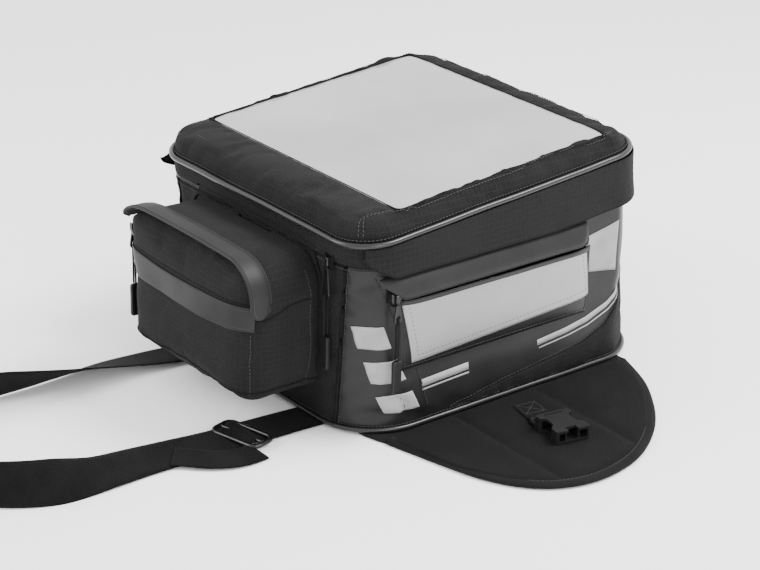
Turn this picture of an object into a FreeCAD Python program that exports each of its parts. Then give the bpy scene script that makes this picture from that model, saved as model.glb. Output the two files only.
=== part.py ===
import FreeCAD, Part
import math
import os

import Sketcher
from FreeCAD import Placement, Rotation, Vector

# A magnetic motorcycle tank bag.
# The origin is the middle of the base's underside. +Z is up, +X is the printed right side,
# -Y is the front (the headstock end) and +Y is the rider's end.

doc = FreeCAD.newDocument("tank_bag")
sheet = doc.addObject("Spreadsheet::Sheet", "dims")

SIZES = {
    # base and walls
    "base_width": 293, "base_length": 331, "base_corner": 55, "base_shift": 13.5,
    "base_thick": 3.5, "stiffener_thick": 2.5, "wall_thick": 2.5, "seam_half": 118,
    "base_piping_gap": 2.5, "base_piping_rise": 5, "base_piping_radius": 2.2,
    # the tilted plane of the lid's piping, and the outline of the zip below it
    "lid_rise": 192, "lid_tilt": 4.64, "top_width": 298, "top_length": 314, "top_corner": 36,
    "zip_drop": 22, "zip_tape": 2.8, "zip_end": 88, "fold_drop": 14,
    "ring_width": 304, "ring_length": 320, "ring_corner": 37, "ring_radius": 2.4,
    # lid
    "panel_rise": 19, "panel_inset": 7, "window_width": 275,
    "window_length": 232, "window_corner": 8, "window_shift": 8, "window_lap": 1.5,
    "window_thick": 0.8, "board_thick": 3, "board_inset": 14, "board_corner": 26,
    "skirt_width": 306, "skirt_length": 324, "skirt_drop": 44, "skirt_thick": 1.8,
    "skirt_edge": 150.5, "skirt_start": 125,
    # front pocket
    "pocket_width": 186, "pocket_depth": 72, "pocket_tall": 121, "pocket_floor": 36,
    "pocket_back": 156, "pocket_corner": 20, "pocket_round": 12, "pocket_wall": 2.5,
    "flap_line": 127.3, "pocket_zip_front": 219.2, "pocket_zip_back": 216.4,
    "band_low": 103, "band_tall": 23, "band_thick": 1.3, "storm_gap": 4.2,
    "storm_thick": 1.8, "storm_front": 222, "storm_back": 204, "storm_lip": 150,
    "storm_end_left": 148, "storm_end_right": 116,
    # side pockets
    "pouch_inside": 148.6, "pouch_thick": 6.4, "pouch_front": 115, "pouch_rear": 100,
    "pouch_low": 60, "pouch_top": 125.5, "pouch_back_wall": 0.7, "pouch_face": 1.1,
    "pouch_seam": 2.5, "side_zip_low": 126, "side_zip_tall": 10, "side_zip_front": 128,
    "side_zip_rear": 96, "hood_front": 138, "hood_rear": 92, "hood_top": 149.5,
    "hood_edge": 131, "hood_reach": 162.5, "side_zip_gap": 0.8, "side_zip_thick": 2.9,
    "side_zip_middle": 131.5, "side_slider_y": 124,
    # carry handle at the rider's end
    "handle_rise": 83, "handle_wide": 40, "handle_foot": 92, "handle_end": 118,
    "handle_bow": 20, "handle_thick": 3, "handle_back": 170.5, "handle_lean": 7,
    # magnetic wings
    "wing_root_edge": 151.8, "wing_edge": 155, "wing_front": 131, "wing_rear": 144,
    "wing_reach": 314, "wing_base_thick": 2.4, "wing_thick": 5, "binding_wide": 9,
    "binding_thick": 5.4, "magnet_radius": 17, "magnet_thick": 3.2, "magnet_low": 0.9,
    # side-release buckle and its webbing
    "tab_start": 178, "tab_end": 206, "tab_wide": 25, "tab_thick": 2.2, "buckle_turn": 10,
    "buckle_wide": 33, "buckle_long": 36, "buckle_tall": 13, "buckle_wall": 2.5,
    "bar_thick": 4, "bar_x": 209, "bar_z": 8.2,
    # zip pulls
    "slider_wide": 10, "slider_tall": 12, "slider_thick": 3.6, "puller_wide": 8,
    "puller_thick": 1.4, "puller_hole": 2.2, "pull_cord_radius": 0.9,
    "toggle_wide": 10, "toggle_long": 31, "toggle_thick": 5,
    # headstock strap
    "strap_wide": 38, "strap_thick": 2.4, "glide_wide": 54, "glide_long": 28,
    "glide_bar": 4.5, "glide_thick": 4, "tail_wide": 24, "tail_thick": 2.4,
}
for row, (alias, number) in enumerate(SIZES.items(), start=1):
    sheet.set(f"A{row}", alias)
    sheet.set(f"B{row}", str(number))
    sheet.setAlias(f"B{row}", alias)
doc.recompute()


def size(alias):
    return float(sheet.get(alias))


NODES = []


def node(feature, label):
    """Marks a finished feature as a sub-part with this name."""
    feature.Label = label
    NODES.append(feature)
    return feature


# ---------------------------------------------------------------- helpers: sketches and bodies


def new_body(name):
    return doc.addObject("PartDesign::Body", name + "_body")


def sketch_on(body, role, name, lift="0"):
    """A sketch on one of the body's own origin planes, lifted off it along its normal."""
    sketch = body.newObject("Sketcher::SketchObject", name)
    plane = next(f for f in body.Origin.OriginFeatures if f.Role == role)
    sketch.AttachmentSupport = [(plane, "")]
    sketch.MapMode = "FlatFace"
    sketch.setExpression(".AttachmentOffset.Base.z", lift)
    return sketch


def rounded(sketch, width, length, corner):
    """A rectangle with round corners about the sketch's origin. The sizes are expressions."""
    wide, long_, bend = 40.0, 60.0, 5.0
    x, y = wide / 2, long_ / 2
    first = sketch.GeometryCount
    spans = [
        ((-x + bend, -y), (x - bend, -y)), ((x, -y + bend), (x, y - bend)),
        ((x - bend, y), (-x + bend, y)), ((-x, y - bend), (-x, -y + bend)),
    ]
    centres = [(x - bend, -y + bend), (x - bend, y - bend), (-x + bend, y - bend),
               (-x + bend, -y + bend)]
    for k, ((x0, y0), (x1, y1)) in enumerate(spans):
        sketch.addGeometry(Part.LineSegment(Vector(x0, y0), Vector(x1, y1)))
        circle = Part.Circle(Vector(*centres[k]), Vector(0, 0, 1), bend)
        start = -math.pi / 2 + k * math.pi / 2
        sketch.addGeometry(Part.ArcOfCircle(circle, start, start + math.pi / 2))
    for k in range(4):
        line, arc, after = first + 2 * k, first + 2 * k + 1, first + (2 * k + 2) % 8
        sketch.addConstraint(Sketcher.Constraint("Tangent", line, 2, arc, 1))
        sketch.addConstraint(Sketcher.Constraint("Tangent", arc, 2, after, 1))
        kind = "Vertical" if k % 2 else "Horizontal"
        sketch.addConstraint(Sketcher.Constraint(kind, line))
        if k:
            sketch.addConstraint(Sketcher.Constraint("Equal", first + 1, arc))
    sketch.addConstraint(Sketcher.Constraint("Symmetric", first, 1, first + 4, 1, -1, 1))
    bound = [
        (Sketcher.Constraint("Radius", first + 1, bend), corner),
        (Sketcher.Constraint("DistanceX", first + 6, 1, first + 2, 1, wide), width),
        (Sketcher.Constraint("DistanceY", first, 1, first + 4, 1, long_), length),
    ]
    for constraint, expression in bound:
        index = sketch.addConstraint(constraint)
        sketch.setExpression(f"Constraints[{index}]", expression)
    return sketch


def closed(sketch, points):
    """A closed outline. A point that is a pair of points is an arc: (through, end)."""
    at = Vector(*points[0])
    for step in points[1:] + points[:1]:
        if isinstance(step[0], tuple):
            end = Vector(*step[1])
            sketch.addGeometry(Part.Arc(at, Vector(*step[0]), end))
        else:
            end = Vector(*step)
            sketch.addGeometry(Part.LineSegment(at, end))
        at = end
    return sketch


def pad(body, sketch, length, reverse=False):
    feature = body.newObject("PartDesign::Pad", sketch.Name + "_pad")
    feature.Profile = sketch
    feature.setExpression("Length", length)
    feature.Reversed = reverse
    body.Tip = feature
    return feature


def loft(body, low, high, name):
    feature = body.newObject("PartDesign::AdditiveLoft", name)
    feature.Profile = low
    feature.Sections = [high]
    feature.Ruled = True
    body.Tip = feature
    return feature


def slab(name, width, length, corner, low, thick):
    """A flat plate with round corners about the body's own Z axis."""
    body = new_body(name)
    outline = rounded(sketch_on(body, "XY_Plane", name + "_outline", low), width, length, corner)
    pad(body, outline, thick)
    return body


def ring(name, width, length, corner, wall, low, tall):
    """An upright band that follows a rounded rectangle, its wall inside the outline."""
    body = new_body(name)
    outline = sketch_on(body, "XY_Plane", name + "_outline", low)
    rounded(outline, width, length, corner)
    rounded(outline, f"{width} - 2 * {wall}", f"{length} - 2 * {wall}", f"{corner} - {wall}")
    pad(body, outline, tall)
    return body


def piping(name, width, length, corner, radius, rise):
    """A round cord sewn in a seam that follows a rounded rectangle."""
    body = new_body(name)
    path = rounded(sketch_on(body, "XY_Plane", name + "_path", rise), width, length, corner)
    section = sketch_on(body, "YZ_Plane", name + "_section", f"-{width} / 2 + {corner}")
    section.addGeometry(Part.Circle(Vector(0, 0, 0), Vector(0, 0, 1), 2))
    bound = [
        (Sketcher.Constraint("Radius", 0, 2), radius),
        (Sketcher.Constraint("DistanceX", 0, 3, -1, 1, 10), f"{length} / 2"),
        (Sketcher.Constraint("DistanceY", -1, 1, 0, 3, 1), f"{rise} + 0.0001"),
    ]
    for constraint, expression in bound:
        index = section.addConstraint(constraint)
        section.setExpression(f"Constraints[{index}]", expression)
    sweep = body.newObject("PartDesign::AdditivePipe", name + "_sweep")
    sweep.Profile = section
    sweep.Spine = path
    body.Tip = sweep
    return body


# ---------------------------------------------------------------- helpers: Part objects


def box(name, low, high):
    feature = doc.addObject("Part::Box", name)
    feature.Length, feature.Width, feature.Height = (b - a for a, b in zip(low, high))
    feature.Placement = Placement(Vector(*low), Rotation())
    return feature


def cylinder(name, radius, tall, at):
    feature = doc.addObject("Part::Cylinder", name)
    feature.setExpression("Radius", radius)
    feature.setExpression("Height", tall)
    feature.Placement = Placement(Vector(*at), Rotation())
    return feature


def joined(kind, name, base, tool):
    feature = doc.addObject(f"Part::{kind}", name)
    feature.Base, feature.Tool = base, tool
    return feature


def cut(name, base, tool):
    return joined("Cut", name, base, tool)


def common(name, base, tool):
    return joined("Common", name, base, tool)


def group(name, members):
    feature = doc.addObject("Part::MultiFuse", name)
    feature.Shapes = members
    return feature


def soften(name, base, radius, wanted):
    """Rounds the edges of a Part object whose midpoint passes the test."""
    doc.recompute()
    feature = doc.addObject("Part::Fillet", name)
    feature.Base = base
    feature.Edges = [
        (k, radius, radius) for k, edge in enumerate(base.Shape.Edges, start=1)
        if wanted(edge.valueAt((edge.FirstParameter + edge.LastParameter) / 2))
    ]
    return feature


def lid_frame(drop=0.0):
    """The placement of the lid's own plane, or of one parallel to it and below it."""
    turn = Rotation(Vector(1, 0, 0), size("lid_tilt"))
    return Placement(Vector(0, 0, size("lid_rise")) + turn.multVec(Vector(0, 0, -drop)), turn)


FAR = 400.0  # further than any wall, for the boxes that cut them

# ---------------------------------------------------------------- base

base_panel = slab("base_panel", "dims.base_width", "dims.base_length", "dims.base_corner",
                  "0", "dims.base_thick")
base_stiffener = slab("base_stiffener", "dims.base_width - 4 * dims.wall_thick",
                      "dims.base_length - 4 * dims.wall_thick",
                      "dims.base_corner - 2 * dims.wall_thick",
                      "dims.base_thick + 0.2", "dims.stiffener_thick")
base_piping = piping("base_piping", "(dims.base_width + 2 * dims.base_piping_gap)",
                     "(dims.base_length + 2 * dims.base_piping_gap)",
                     "(dims.base_corner + dims.base_piping_gap)",
                     "dims.base_piping_radius", "dims.base_piping_rise")
for feature, label in ((base_panel, "base_panel"), (base_stiffener, "base_stiffener"),
                       (base_piping, "base_piping")):
    feature.Placement = Placement(Vector(0, size("base_shift"), 0), Rotation())
    node(feature, label)

# ---------------------------------------------------------------- walls


def wall_block(name, inset):
    """The bag's volume between the base and the zip, drawn in by inset."""
    body = new_body(name)
    low = sketch_on(body, "XY_Plane", name + "_low", "dims.base_thick")
    low.setExpression(".AttachmentOffset.Base.y", "dims.base_shift")
    rounded(low, f"dims.base_width - 2 * {inset}", f"dims.base_length - 2 * {inset}",
            f"dims.base_corner - {inset}")
    high = sketch_on(body, "XY_Plane", name + "_high")
    high.setExpression(".AttachmentOffset.Base.z", None)
    high.AttachmentOffset = lid_frame(size("zip_drop"))
    rounded(high, f"dims.top_width - 2 * {inset}", f"dims.top_length - 2 * {inset}",
            f"dims.top_corner - {inset}")
    loft(body, low, high, name + "_loft")
    return body


walls = cut("walls", wall_block("outer", "0"), wall_block("inner", "dims.wall_thick"))
seam = size("seam_half")
WALLS = {
    "front_panel": ((-seam, -FAR, -FAR), (seam, 0, FAR)),
    "rear_panel": ((-seam, 0, -FAR), (seam, FAR, FAR)),
    "side_panel_right": ((seam, -FAR, -FAR), (FAR, FAR, FAR)),
}
for label, (low, high) in WALLS.items():
    node(common(label, walls, box(label + "_region", low, high)), label)

# ---------------------------------------------------------------- main zip, and the fold at the front

zip_end = size("zip_end")
TOP = ("dims.top_width", "dims.top_length", "dims.top_corner")

zip_ring = ring("zip_ring", *TOP, "dims.wall_thick", "-dims.zip_drop", "dims.zip_tape")
zip_ring.Placement = lid_frame()
front_zone = box("front_zone", (-zip_end, -FAR, 0), (zip_end, -size("top_length") / 4, FAR))
node(cut("main_zip_tape", zip_ring, front_zone), "main_zip_tape")

fold_ring = ring("fold_ring", *TOP, "dims.wall_thick", "-dims.zip_drop + 0.1",
                 "dims.zip_drop - dims.fold_drop - 0.9")
fold_ring.Placement = lid_frame()
fold_zone = box("fold_zone", (0.5 - zip_end, -FAR, 0), (zip_end - 0.5, -size("top_length") / 4, FAR))
node(common("lid_fold", fold_ring, fold_zone), "lid_fold")

# ---------------------------------------------------------------- lid

band_ring = ring("band_ring", *TOP, "dims.wall_thick", "-dims.zip_drop + 4",
                 "dims.zip_drop - 4 - 2.2")
band_ring.Placement = lid_frame()
fold_clear = box("fold_clear", (-zip_end, -FAR, -FAR), (zip_end, 0, -size("fold_drop")))
fold_clear.Placement = lid_frame().multiply(fold_clear.Placement)
node(cut("lid_band", band_ring, fold_clear), "lid_band")

lid_piping = piping("lid_piping", "dims.ring_width", "dims.ring_length", "dims.ring_corner",
                    "dims.ring_radius", "0")
lid_piping.Placement = lid_frame()
node(lid_piping, "lid_piping")


def lid_block(name, inset, top):
    body = new_body(name)
    low = sketch_on(body, "XY_Plane", name + "_low", "-2")
    rounded(low, f"dims.top_width - 2 * {inset}", f"dims.top_length - 2 * {inset}",
            f"dims.top_corner - {inset}")
    high = sketch_on(body, "XY_Plane", name + "_high", top)
    inward = f"({inset} + dims.panel_inset)"
    rounded(high, f"dims.top_width - 2 * {inward}", f"dims.top_length - 2 * {inward}",
            f"dims.top_corner - {inward}")
    loft(body, low, high, name + "_loft")
    return body


lid_outer = lid_block("lid_outer", "0", "dims.panel_rise")
lid_inner = lid_block("lid_inner", "dims.wall_thick", "dims.panel_rise - dims.wall_thick")
lid_shell = cut("lid_shell", lid_outer, lid_inner)
window_hole = slab("window_hole", "dims.window_width", "dims.window_length",
                   "dims.window_corner", "0", "2 * dims.panel_rise")
window_hole.Placement = Placement(Vector(0, size("window_shift"), 0), Rotation())
lid_panel = cut("lid_panel", lid_shell, window_hole)
lid_panel.Placement = lid_frame()
node(lid_panel, "lid_panel")

LAP = "2 * dims.window_lap"
map_window = slab("map_window", f"dims.window_width + {LAP}", f"dims.window_length + {LAP}",
                  "dims.window_corner", "dims.panel_rise - dims.wall_thick - 1.1",
                  "dims.window_thick")
lid_board = slab("lid_board", "dims.top_width - 2 * dims.board_inset",
                 "dims.top_length - 2 * dims.board_inset", "dims.board_corner",
                 "dims.panel_rise - 9", "dims.board_thick")
map_window.Placement = lid_frame().multiply(window_hole.Placement)
lid_board.Placement = lid_frame()
node(map_window, "map_window")
node(lid_board, "lid_board")

skirt_ring = ring("skirt_ring", "dims.skirt_width", "dims.skirt_length", "dims.ring_corner + 1",
                  "dims.skirt_thick", "-dims.skirt_drop", "dims.skirt_drop - 2.7")
skirt_ring.Placement = lid_frame().multiply(Placement(Vector(0, 1, 0), Rotation()))
skirt_zone = box("skirt_zone", (-FAR, -size("skirt_start"), size("skirt_edge")), (FAR, FAR, FAR))
node(common("lid_skirt", skirt_ring, skirt_zone), "lid_skirt")

# ---------------------------------------------------------------- front pocket


def pocket_block(name, grow):
    """The pocket's rounded volume, grown by this much on every side but its back."""
    wide, deep = size("pocket_width") + 2 * grow, size("pocket_depth") + grow
    back, floor = -size("pocket_back"), size("pocket_floor") - grow
    top = size("pocket_floor") + size("pocket_tall") + grow
    front = back - deep
    plain = box(name + "_plain", (-wide / 2, front, floor), (wide / 2, back, top))

    def outer_edge(p):
        return p.y < back - 1 and (abs(p.z - floor) < 0.1 or abs(p.z - top) < 0.1)

    def front_corner(p):
        return abs(p.y - front) < 0.1 and abs(abs(p.x) - wide / 2) < 0.1

    doc.recompute()
    feature = doc.addObject("Part::Fillet", name)
    feature.Base = plain
    edges = []
    for k, edge in enumerate(plain.Shape.Edges, start=1):
        middle = edge.valueAt((edge.FirstParameter + edge.LastParameter) / 2)
        if outer_edge(middle):
            edges.append((k, size("pocket_round") + grow, size("pocket_round") + grow))
        elif front_corner(middle):
            edges.append((k, size("pocket_corner") + grow, size("pocket_corner") + grow))
    feature.Edges = edges
    return feature


pocket_outer = pocket_block("pocket_outer", 0)
pocket_skin = cut("pocket_skin", pocket_outer, cut(
    "pocket_hollow", pocket_block("pocket_inner", -size("pocket_wall")),
    box("pocket_back_wall", (-FAR, -size("pocket_back") - size("pocket_wall"), 0),
        (FAR, 0, FAR))))
flap_line = size("flap_line")
zip_front, zip_back = -size("pocket_zip_front"), -size("pocket_zip_back")
node(cut("pocket_body", pocket_skin,
         box("mouth_zone", (-FAR, -FAR, flap_line), (FAR, zip_back + 0.2, FAR))), "pocket_body")
node(common("pocket_zip", pocket_skin,
            box("pocket_zip_zone", (-FAR, zip_front, flap_line + 0.2), (FAR, zip_back, FAR))),
     "pocket_zip")
node(common("pocket_flap", pocket_skin,
            box("flap_zone", (-FAR, -FAR, flap_line + 0.4), (FAR, zip_front - 0.4, FAR))),
     "pocket_flap")

band_low = size("band_low")
band_skin = cut("band_skin", pocket_block("band_outer", size("band_thick") + 0.1),
                pocket_block("band_inner", 0.1))
node(common("pocket_band", band_skin,
            box("band_zone", (-FAR, -FAR, band_low),
                (FAR, -size("storm_back"), band_low + size("band_tall")))), "pocket_band")

storm_skin = cut("storm_skin",
                 pocket_block("storm_outer", size("storm_gap") + size("storm_thick")),
                 pocket_block("storm_inner", size("storm_gap")))
half_pocket, storm_back = size("pocket_width") / 2, -size("storm_back")
storm_zone = group("storm_zone", [
    box("storm_top", (-FAR, -FAR, size("storm_lip")), (FAR, storm_back, FAR)),
    box("storm_left", (-FAR, -size("storm_front"), size("storm_end_left")),
        (-half_pocket, storm_back, FAR)),
    box("storm_right", (half_pocket, -size("storm_front"), size("storm_end_right")),
        (FAR, storm_back, FAR)),
])
node(common("pocket_storm_flap", storm_skin, storm_zone), "pocket_storm_flap")

# ---------------------------------------------------------------- right side pocket

x0, x1 = size("pouch_inside"), size("pouch_inside") + size("pouch_thick")
seam_wide = size("pouch_seam")
pouch_plain = box("pouch_plain", (x0, -size("pouch_front"), size("pouch_low")),
                  (x1, size("pouch_rear"), size("pouch_top")))
pouch_round = soften("pouch_round", pouch_plain, 4,
                     lambda p: p.x > x1 - 0.1 and p.z < size("pouch_top") - 1)
pouch_hollow = box("pouch_hollow",
                   (x0 + size("pouch_back_wall"), seam_wide - size("pouch_front"),
                    size("pouch_low") + seam_wide),
                   (x1 - size("pouch_face"), size("pouch_rear") - seam_wide, FAR))
node(cut("side_pocket_right", pouch_round, pouch_hollow), "side_pocket_right")

side_back = x0 + size("side_zip_gap")
zip_face = side_back + size("side_zip_thick")
node(box("side_zip_right", (side_back, -size("side_zip_front"), size("side_zip_low")),
         (zip_face, size("side_zip_rear"), size("side_zip_low") + size("side_zip_tall"))),
     "side_zip_right")

hood_body = new_body("hood_right")
reach, top, edge = size("hood_reach"), size("hood_top"), size("hood_edge")
closed(sketch_on(hood_body, "XZ_Plane", "hood_profile"), [
    (side_back, top), (side_back, top - 2.2), (reach - 2.4, top - 9), (reach - 1.5, edge),
    (reach, edge), (reach - 0.8, top - 8.2),
])
pad(hood_body, doc.getObject("hood_profile"), "dims.hood_front + dims.hood_rear")
hood_body.Placement = Placement(Vector(0, size("hood_rear"), 0), Rotation())
node(hood_body, "hood_right")

# ---------------------------------------------------------------- carry handle

handle = new_body("rear_handle")
foot, end = size("handle_foot"), size("handle_end")
bow, thick = size("handle_bow"), size("handle_thick")
closed(sketch_on(handle, "XY_Plane", "handle_outline"), [
    (-end, 0), (-foot, 0), ((0, bow), (foot, 0)), (end, 0), (end, thick), (foot, thick),
    ((0, bow + thick), (-foot, thick)), (-end, thick),
])
pad(handle, doc.getObject("handle_outline"), "dims.handle_wide")
handle.Placement = Placement(Vector(0, size("handle_back"), size("handle_rise")),
                             Rotation(Vector(1, 0, 0), size("handle_lean")))
node(handle, "rear_handle")

# ---------------------------------------------------------------- right wing

root_plain = box("wing_root_plain", (100, -size("wing_front") - 4, 0),
                 (size("wing_root_edge"), size("wing_rear") + 2, size("wing_base_thick")))
root_clear = slab("wing_root_clear", "dims.base_width + 0.6", "dims.base_length + 0.6",
                  "dims.base_corner + 0.3", "-1", "10")
root_clear.Placement = base_panel.Placement
node(cut("wing_root_right", root_plain, root_clear), "wing_root_right")

wing_sketch = doc.addObject("Sketcher::SketchObject", "wing_outline")
edge_x, reach_x = size("wing_edge"), size("wing_reach")
closed(wing_sketch, [
    (edge_x, -size("wing_front")), (reach_x - 64, -111), ((reach_x - 23, -84), (reach_x, -33)),
    ((reach_x - 11, 26), (reach_x - 52, 84)), (edge_x, size("wing_rear")),
])
wing_inset = doc.addObject("Part::Offset2D", "wing_inset")
wing_inset.Source = wing_sketch
wing_inset.setExpression("Value", "-dims.binding_wide")
wing_inset.Fill = False


def extrude(name, source, low, tall):
    feature = doc.addObject("Part::Extrusion", name)
    feature.Base = source
    feature.DirMode = "Custom"
    feature.Dir = Vector(0, 0, 1)
    feature.setExpression("LengthFwd", tall)
    feature.Solid = True
    feature.Placement = Placement(Vector(0, 0, low), Rotation())
    return feature


MAGNETS = [(222, -83), (238, -11), (214, 62)]  # the middle of each quilted cell


def magnet_set(name, grow):
    low = size("magnet_low") - grow
    return group(name, [
        cylinder(f"{name}_{k}", f"dims.magnet_radius + {grow}", f"dims.magnet_thick + 2 * {grow}",
                 (x, y, low)) for k, (x, y) in enumerate(MAGNETS, start=1)])


node(cut("wing_binding_right", extrude("binding_plain", wing_sketch, 0, "dims.binding_thick"),
         extrude("binding_inside", wing_inset, 0, "dims.binding_thick")), "wing_binding_right")
pad_low = size("wing_base_thick") + 0.1
node(cut("wing_base_right", extrude("wing_base_plain", wing_inset, 0, "dims.wing_base_thick"),
         magnet_set("magnet_seat_low", 0.15)), "wing_base_right")
node(cut("wing_pad_right",
         extrude("wing_pad_plain", wing_inset, pad_low,
                 "dims.wing_thick - dims.wing_base_thick - 0.1"),
         magnet_set("magnet_seat_high", 0.15)), "wing_pad_right")
node(magnet_set("magnets_right", 0), "magnets_right")

# ---------------------------------------------------------------- webbing tab and buckle

bar_x, bar_z = size("bar_x"), size("bar_z")
buckle_place = Placement(Vector(bar_x, -1, 0), Rotation(Vector(0, 0, 1), -size("buckle_turn")))

half_tab = size("tab_wide") / 2
tab = box("buckle_tab_right", (size("tab_start") - bar_x, -half_tab, size("wing_thick") + 0.1),
          (size("tab_end") - bar_x, half_tab, size("wing_thick") + 0.1 + size("tab_thick")))
tab.Placement = buckle_place.multiply(tab.Placement)
node(tab, "buckle_tab_right")

half, wall = size("buckle_wide") / 2, size("buckle_wall")
start = 11.0  # from the webbing bar to the back of the socket
mouth, high = start + size("buckle_long"), size("buckle_tall")
rise = bar_z - size("bar_thick") / 2
shell = soften("buckle_shell", box("buckle_plain", (start, -half, rise), (mouth, half, rise + high)),
               2.2, lambda p: abs(abs(p.y) - half) < 0.1 and start + 1 < p.x < mouth - 1)
frame_plain = box("frame_plain", (-2, 1.5 - half, rise), (start + 1, half - 1.5, rise + 4))
socket_parts = group("buckle_joined", [shell, frame_plain])
buckle_cuts = group("buckle_cuts", [
    box("buckle_socket", (start + 4, wall - half, rise + wall), (FAR, half - wall, rise + high - wall)),
    box("buckle_windows", (start + 9, -FAR, rise + 3.5), (start + 21, FAR, rise + high - 3.5)),
    box("webbing_slot", (2, 4.5 - half, -FAR), (start - 3, half - 4.5, FAR)),
    box("mouth_notch", (mouth - 9, -5.5, rise + high - wall - 1), (FAR, 5.5, FAR)),
])
buckle = cut("buckle_right", socket_parts, buckle_cuts)
buckle.Placement = buckle_place
node(buckle, "buckle_right")

# ---------------------------------------------------------------- zip sliders, pulls and their cords

# A pull's cord passes through the puller's hole. Each point is (across, down) from the hole's
# lower edge; the cord starts and ends in the toggle.
PULL_CORD = [
    (-1.9, -38), (-1.6, -22), (-1.95, -11), (-1.75, -4.5), (-1.7, 0),
    (1.7, 0), (1.75, -4.5), (2.05, -11), (1.6, -22), (1.9, -38),
]
HINGE_OUT, HINGE_DOWN = 5.6, 5.0  # the puller's pivot, from the middle of the slider's back


def tube_path(points):
    """Straight runs joined by tangent arcs, each as large as its two runs allow."""
    points = [Vector(*p) for p in points]
    edges, radii, at = [], [], points[0]
    for before, here, after in zip(points, points[1:], points[2:]):
        back, on = before - here, after - here
        half_turn = (math.pi - back.getAngle(on)) / 2
        reach = 0.45 * min(back.Length, on.Length)
        radii.append(reach / math.tan(half_turn))
        back, on = back.normalize(), on.normalize()
        first, last = here + back * reach, here + on * reach
        bisector = (back + on).normalize()
        centre = here + bisector * (radii[-1] / math.cos(half_turn))
        middle = centre - bisector * radii[-1]
        edges += [Part.LineSegment(at, first).toShape(), Part.Arc(first, middle, last).toShape()]
        at = last
    edges.append(Part.LineSegment(at, points[-1]).toShape())
    return Part.Wire(edges), radii


def ribbon(name, points, wide, tall, label):
    """A strap or cord: its section, wide by tall or round, swept along its route."""
    path, radii = tube_path(points)
    start_edge = path.Edges[0]
    along = start_edge.tangentAt(start_edge.FirstParameter)
    if tall:
        across = Vector(0, 0, 1).cross(along).normalize() * (wide / 2)
        up = Vector(0, 0, tall / 2)
        at = Vector(*points[0])
        section = Part.makePolygon([at + across + up, at - across + up, at - across - up,
                                    at + across - up, at + across + up])
        area = wide * tall
    else:
        section = Part.Wire(Part.makeCircle(wide / 2, Vector(*points[0]), along))
        area = math.pi * wide ** 2 / 4
    feature = doc.addObject("Part::Feature", name)
    feature.Shape = path.makePipeShell([section], True, False)
    print(f"{label}: route {path.Length:.1f} mm, volume over section {feature.Shape.Volume / area:.1f}"
          f" mm, radii {min(radii):.1f} to {max(radii):.1f} mm")
    return feature


def zip_pull(prefix, place, puller_long):
    """A slider on a zip, with the plate, cord and toggle that hang from it.

    In its own frame the zip's face is the XZ plane, -Y points out of the bag and the slider's
    middle is the origin.
    """
    wide, thick, tall = size("slider_wide"), size("slider_thick"), size("slider_tall")
    slider = new_body(prefix + "_slider")
    closed(sketch_on(slider, "XZ_Plane", prefix + "_slider_outline"), [
        (-wide / 2, tall / 2), (-wide / 2, 0), (-wide / 3, -tall / 2), (wide / 3, -tall / 2),
        (wide / 2, 0), (wide / 2, tall / 2), (wide / 6, tall / 2 - 2), (-wide / 6, tall / 2 - 2),
    ])
    pad(slider, doc.getObject(prefix + "_slider_outline"), "dims.slider_thick")
    bridge = soften(prefix + "_bridge_round",
                    box(prefix + "_bridge", (-1.5, -thick - 2.4, -3.2), (1.5, -thick, 4.2)),
                    1, lambda p: p.y < -thick - 2)
    slider_whole = group(prefix + "_slider_whole", [slider, bridge])

    half_plate, plate = size("puller_wide") / 2, size("puller_thick")
    bottom = -HINGE_DOWN - puller_long
    hole_z = bottom + 5
    puller = new_body(prefix + "_puller")
    outline = sketch_on(puller, "XZ_Plane", prefix + "_puller_outline")
    closed(outline, [
        (-2, 0.8 - HINGE_DOWN), (-half_plate, bottom + half_plate),
        ((0, bottom), (half_plate, bottom + half_plate)), (2, 0.8 - HINGE_DOWN),
    ])
    outline.addGeometry(Part.Circle(Vector(0, hole_z, 0), Vector(0, 0, 1), size("puller_hole")))
    pad(puller, outline, "dims.puller_thick")
    puller.Placement = Placement(Vector(0, plate / 2 - HINGE_OUT, 0), Rotation())
    doc.recompute()

    loop_top = hole_z - size("puller_hole") + 1.5
    route = [(0, y - HINGE_OUT, loop_top + z) for y, z in PULL_CORD]
    cord = ribbon(prefix + "_cord", route, 2 * size("pull_cord_radius"), 0, prefix + " pull cord")

    toggle_top = loop_top + PULL_CORD[0][1]
    half_w, half_t = size("toggle_wide") / 2, size("toggle_thick") / 2
    toggle = soften(prefix + "_toggle", box(
        prefix + "_toggle_plain", (-half_w, -half_t - HINGE_OUT, toggle_top - size("toggle_long")),
        (half_w, half_t - HINGE_OUT, toggle_top)), 1.8, lambda p: p.z < toggle_top - 1)

    made = {"slider": slider_whole, "puller": puller, "cord": cord, "toggle": toggle}
    for kind, feature in made.items():
        feature.Placement = place.multiply(feature.Placement)
        side = "_right" if prefix == "side" else ""
        node(feature, f"{prefix}_{kind}{side}")


OUT_RIGHT = Rotation(Vector(0, 0, 1), 90)
OUT_LEFT = Rotation(Vector(0, 0, 1), -90)
zip_pull("main", Placement(Vector(109, -155.9, 158), Rotation()), 28)
zip_pull("side", Placement(Vector(zip_face + 0.3, -size("side_slider_y"), size("side_zip_middle")),
                           OUT_RIGHT), 16)
zip_pull("pocket", Placement(Vector(-size("pocket_width") / 2 - 0.3, -217.8, 133.8), OUT_LEFT), 16)

# ---------------------------------------------------------------- headstock strap

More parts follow.
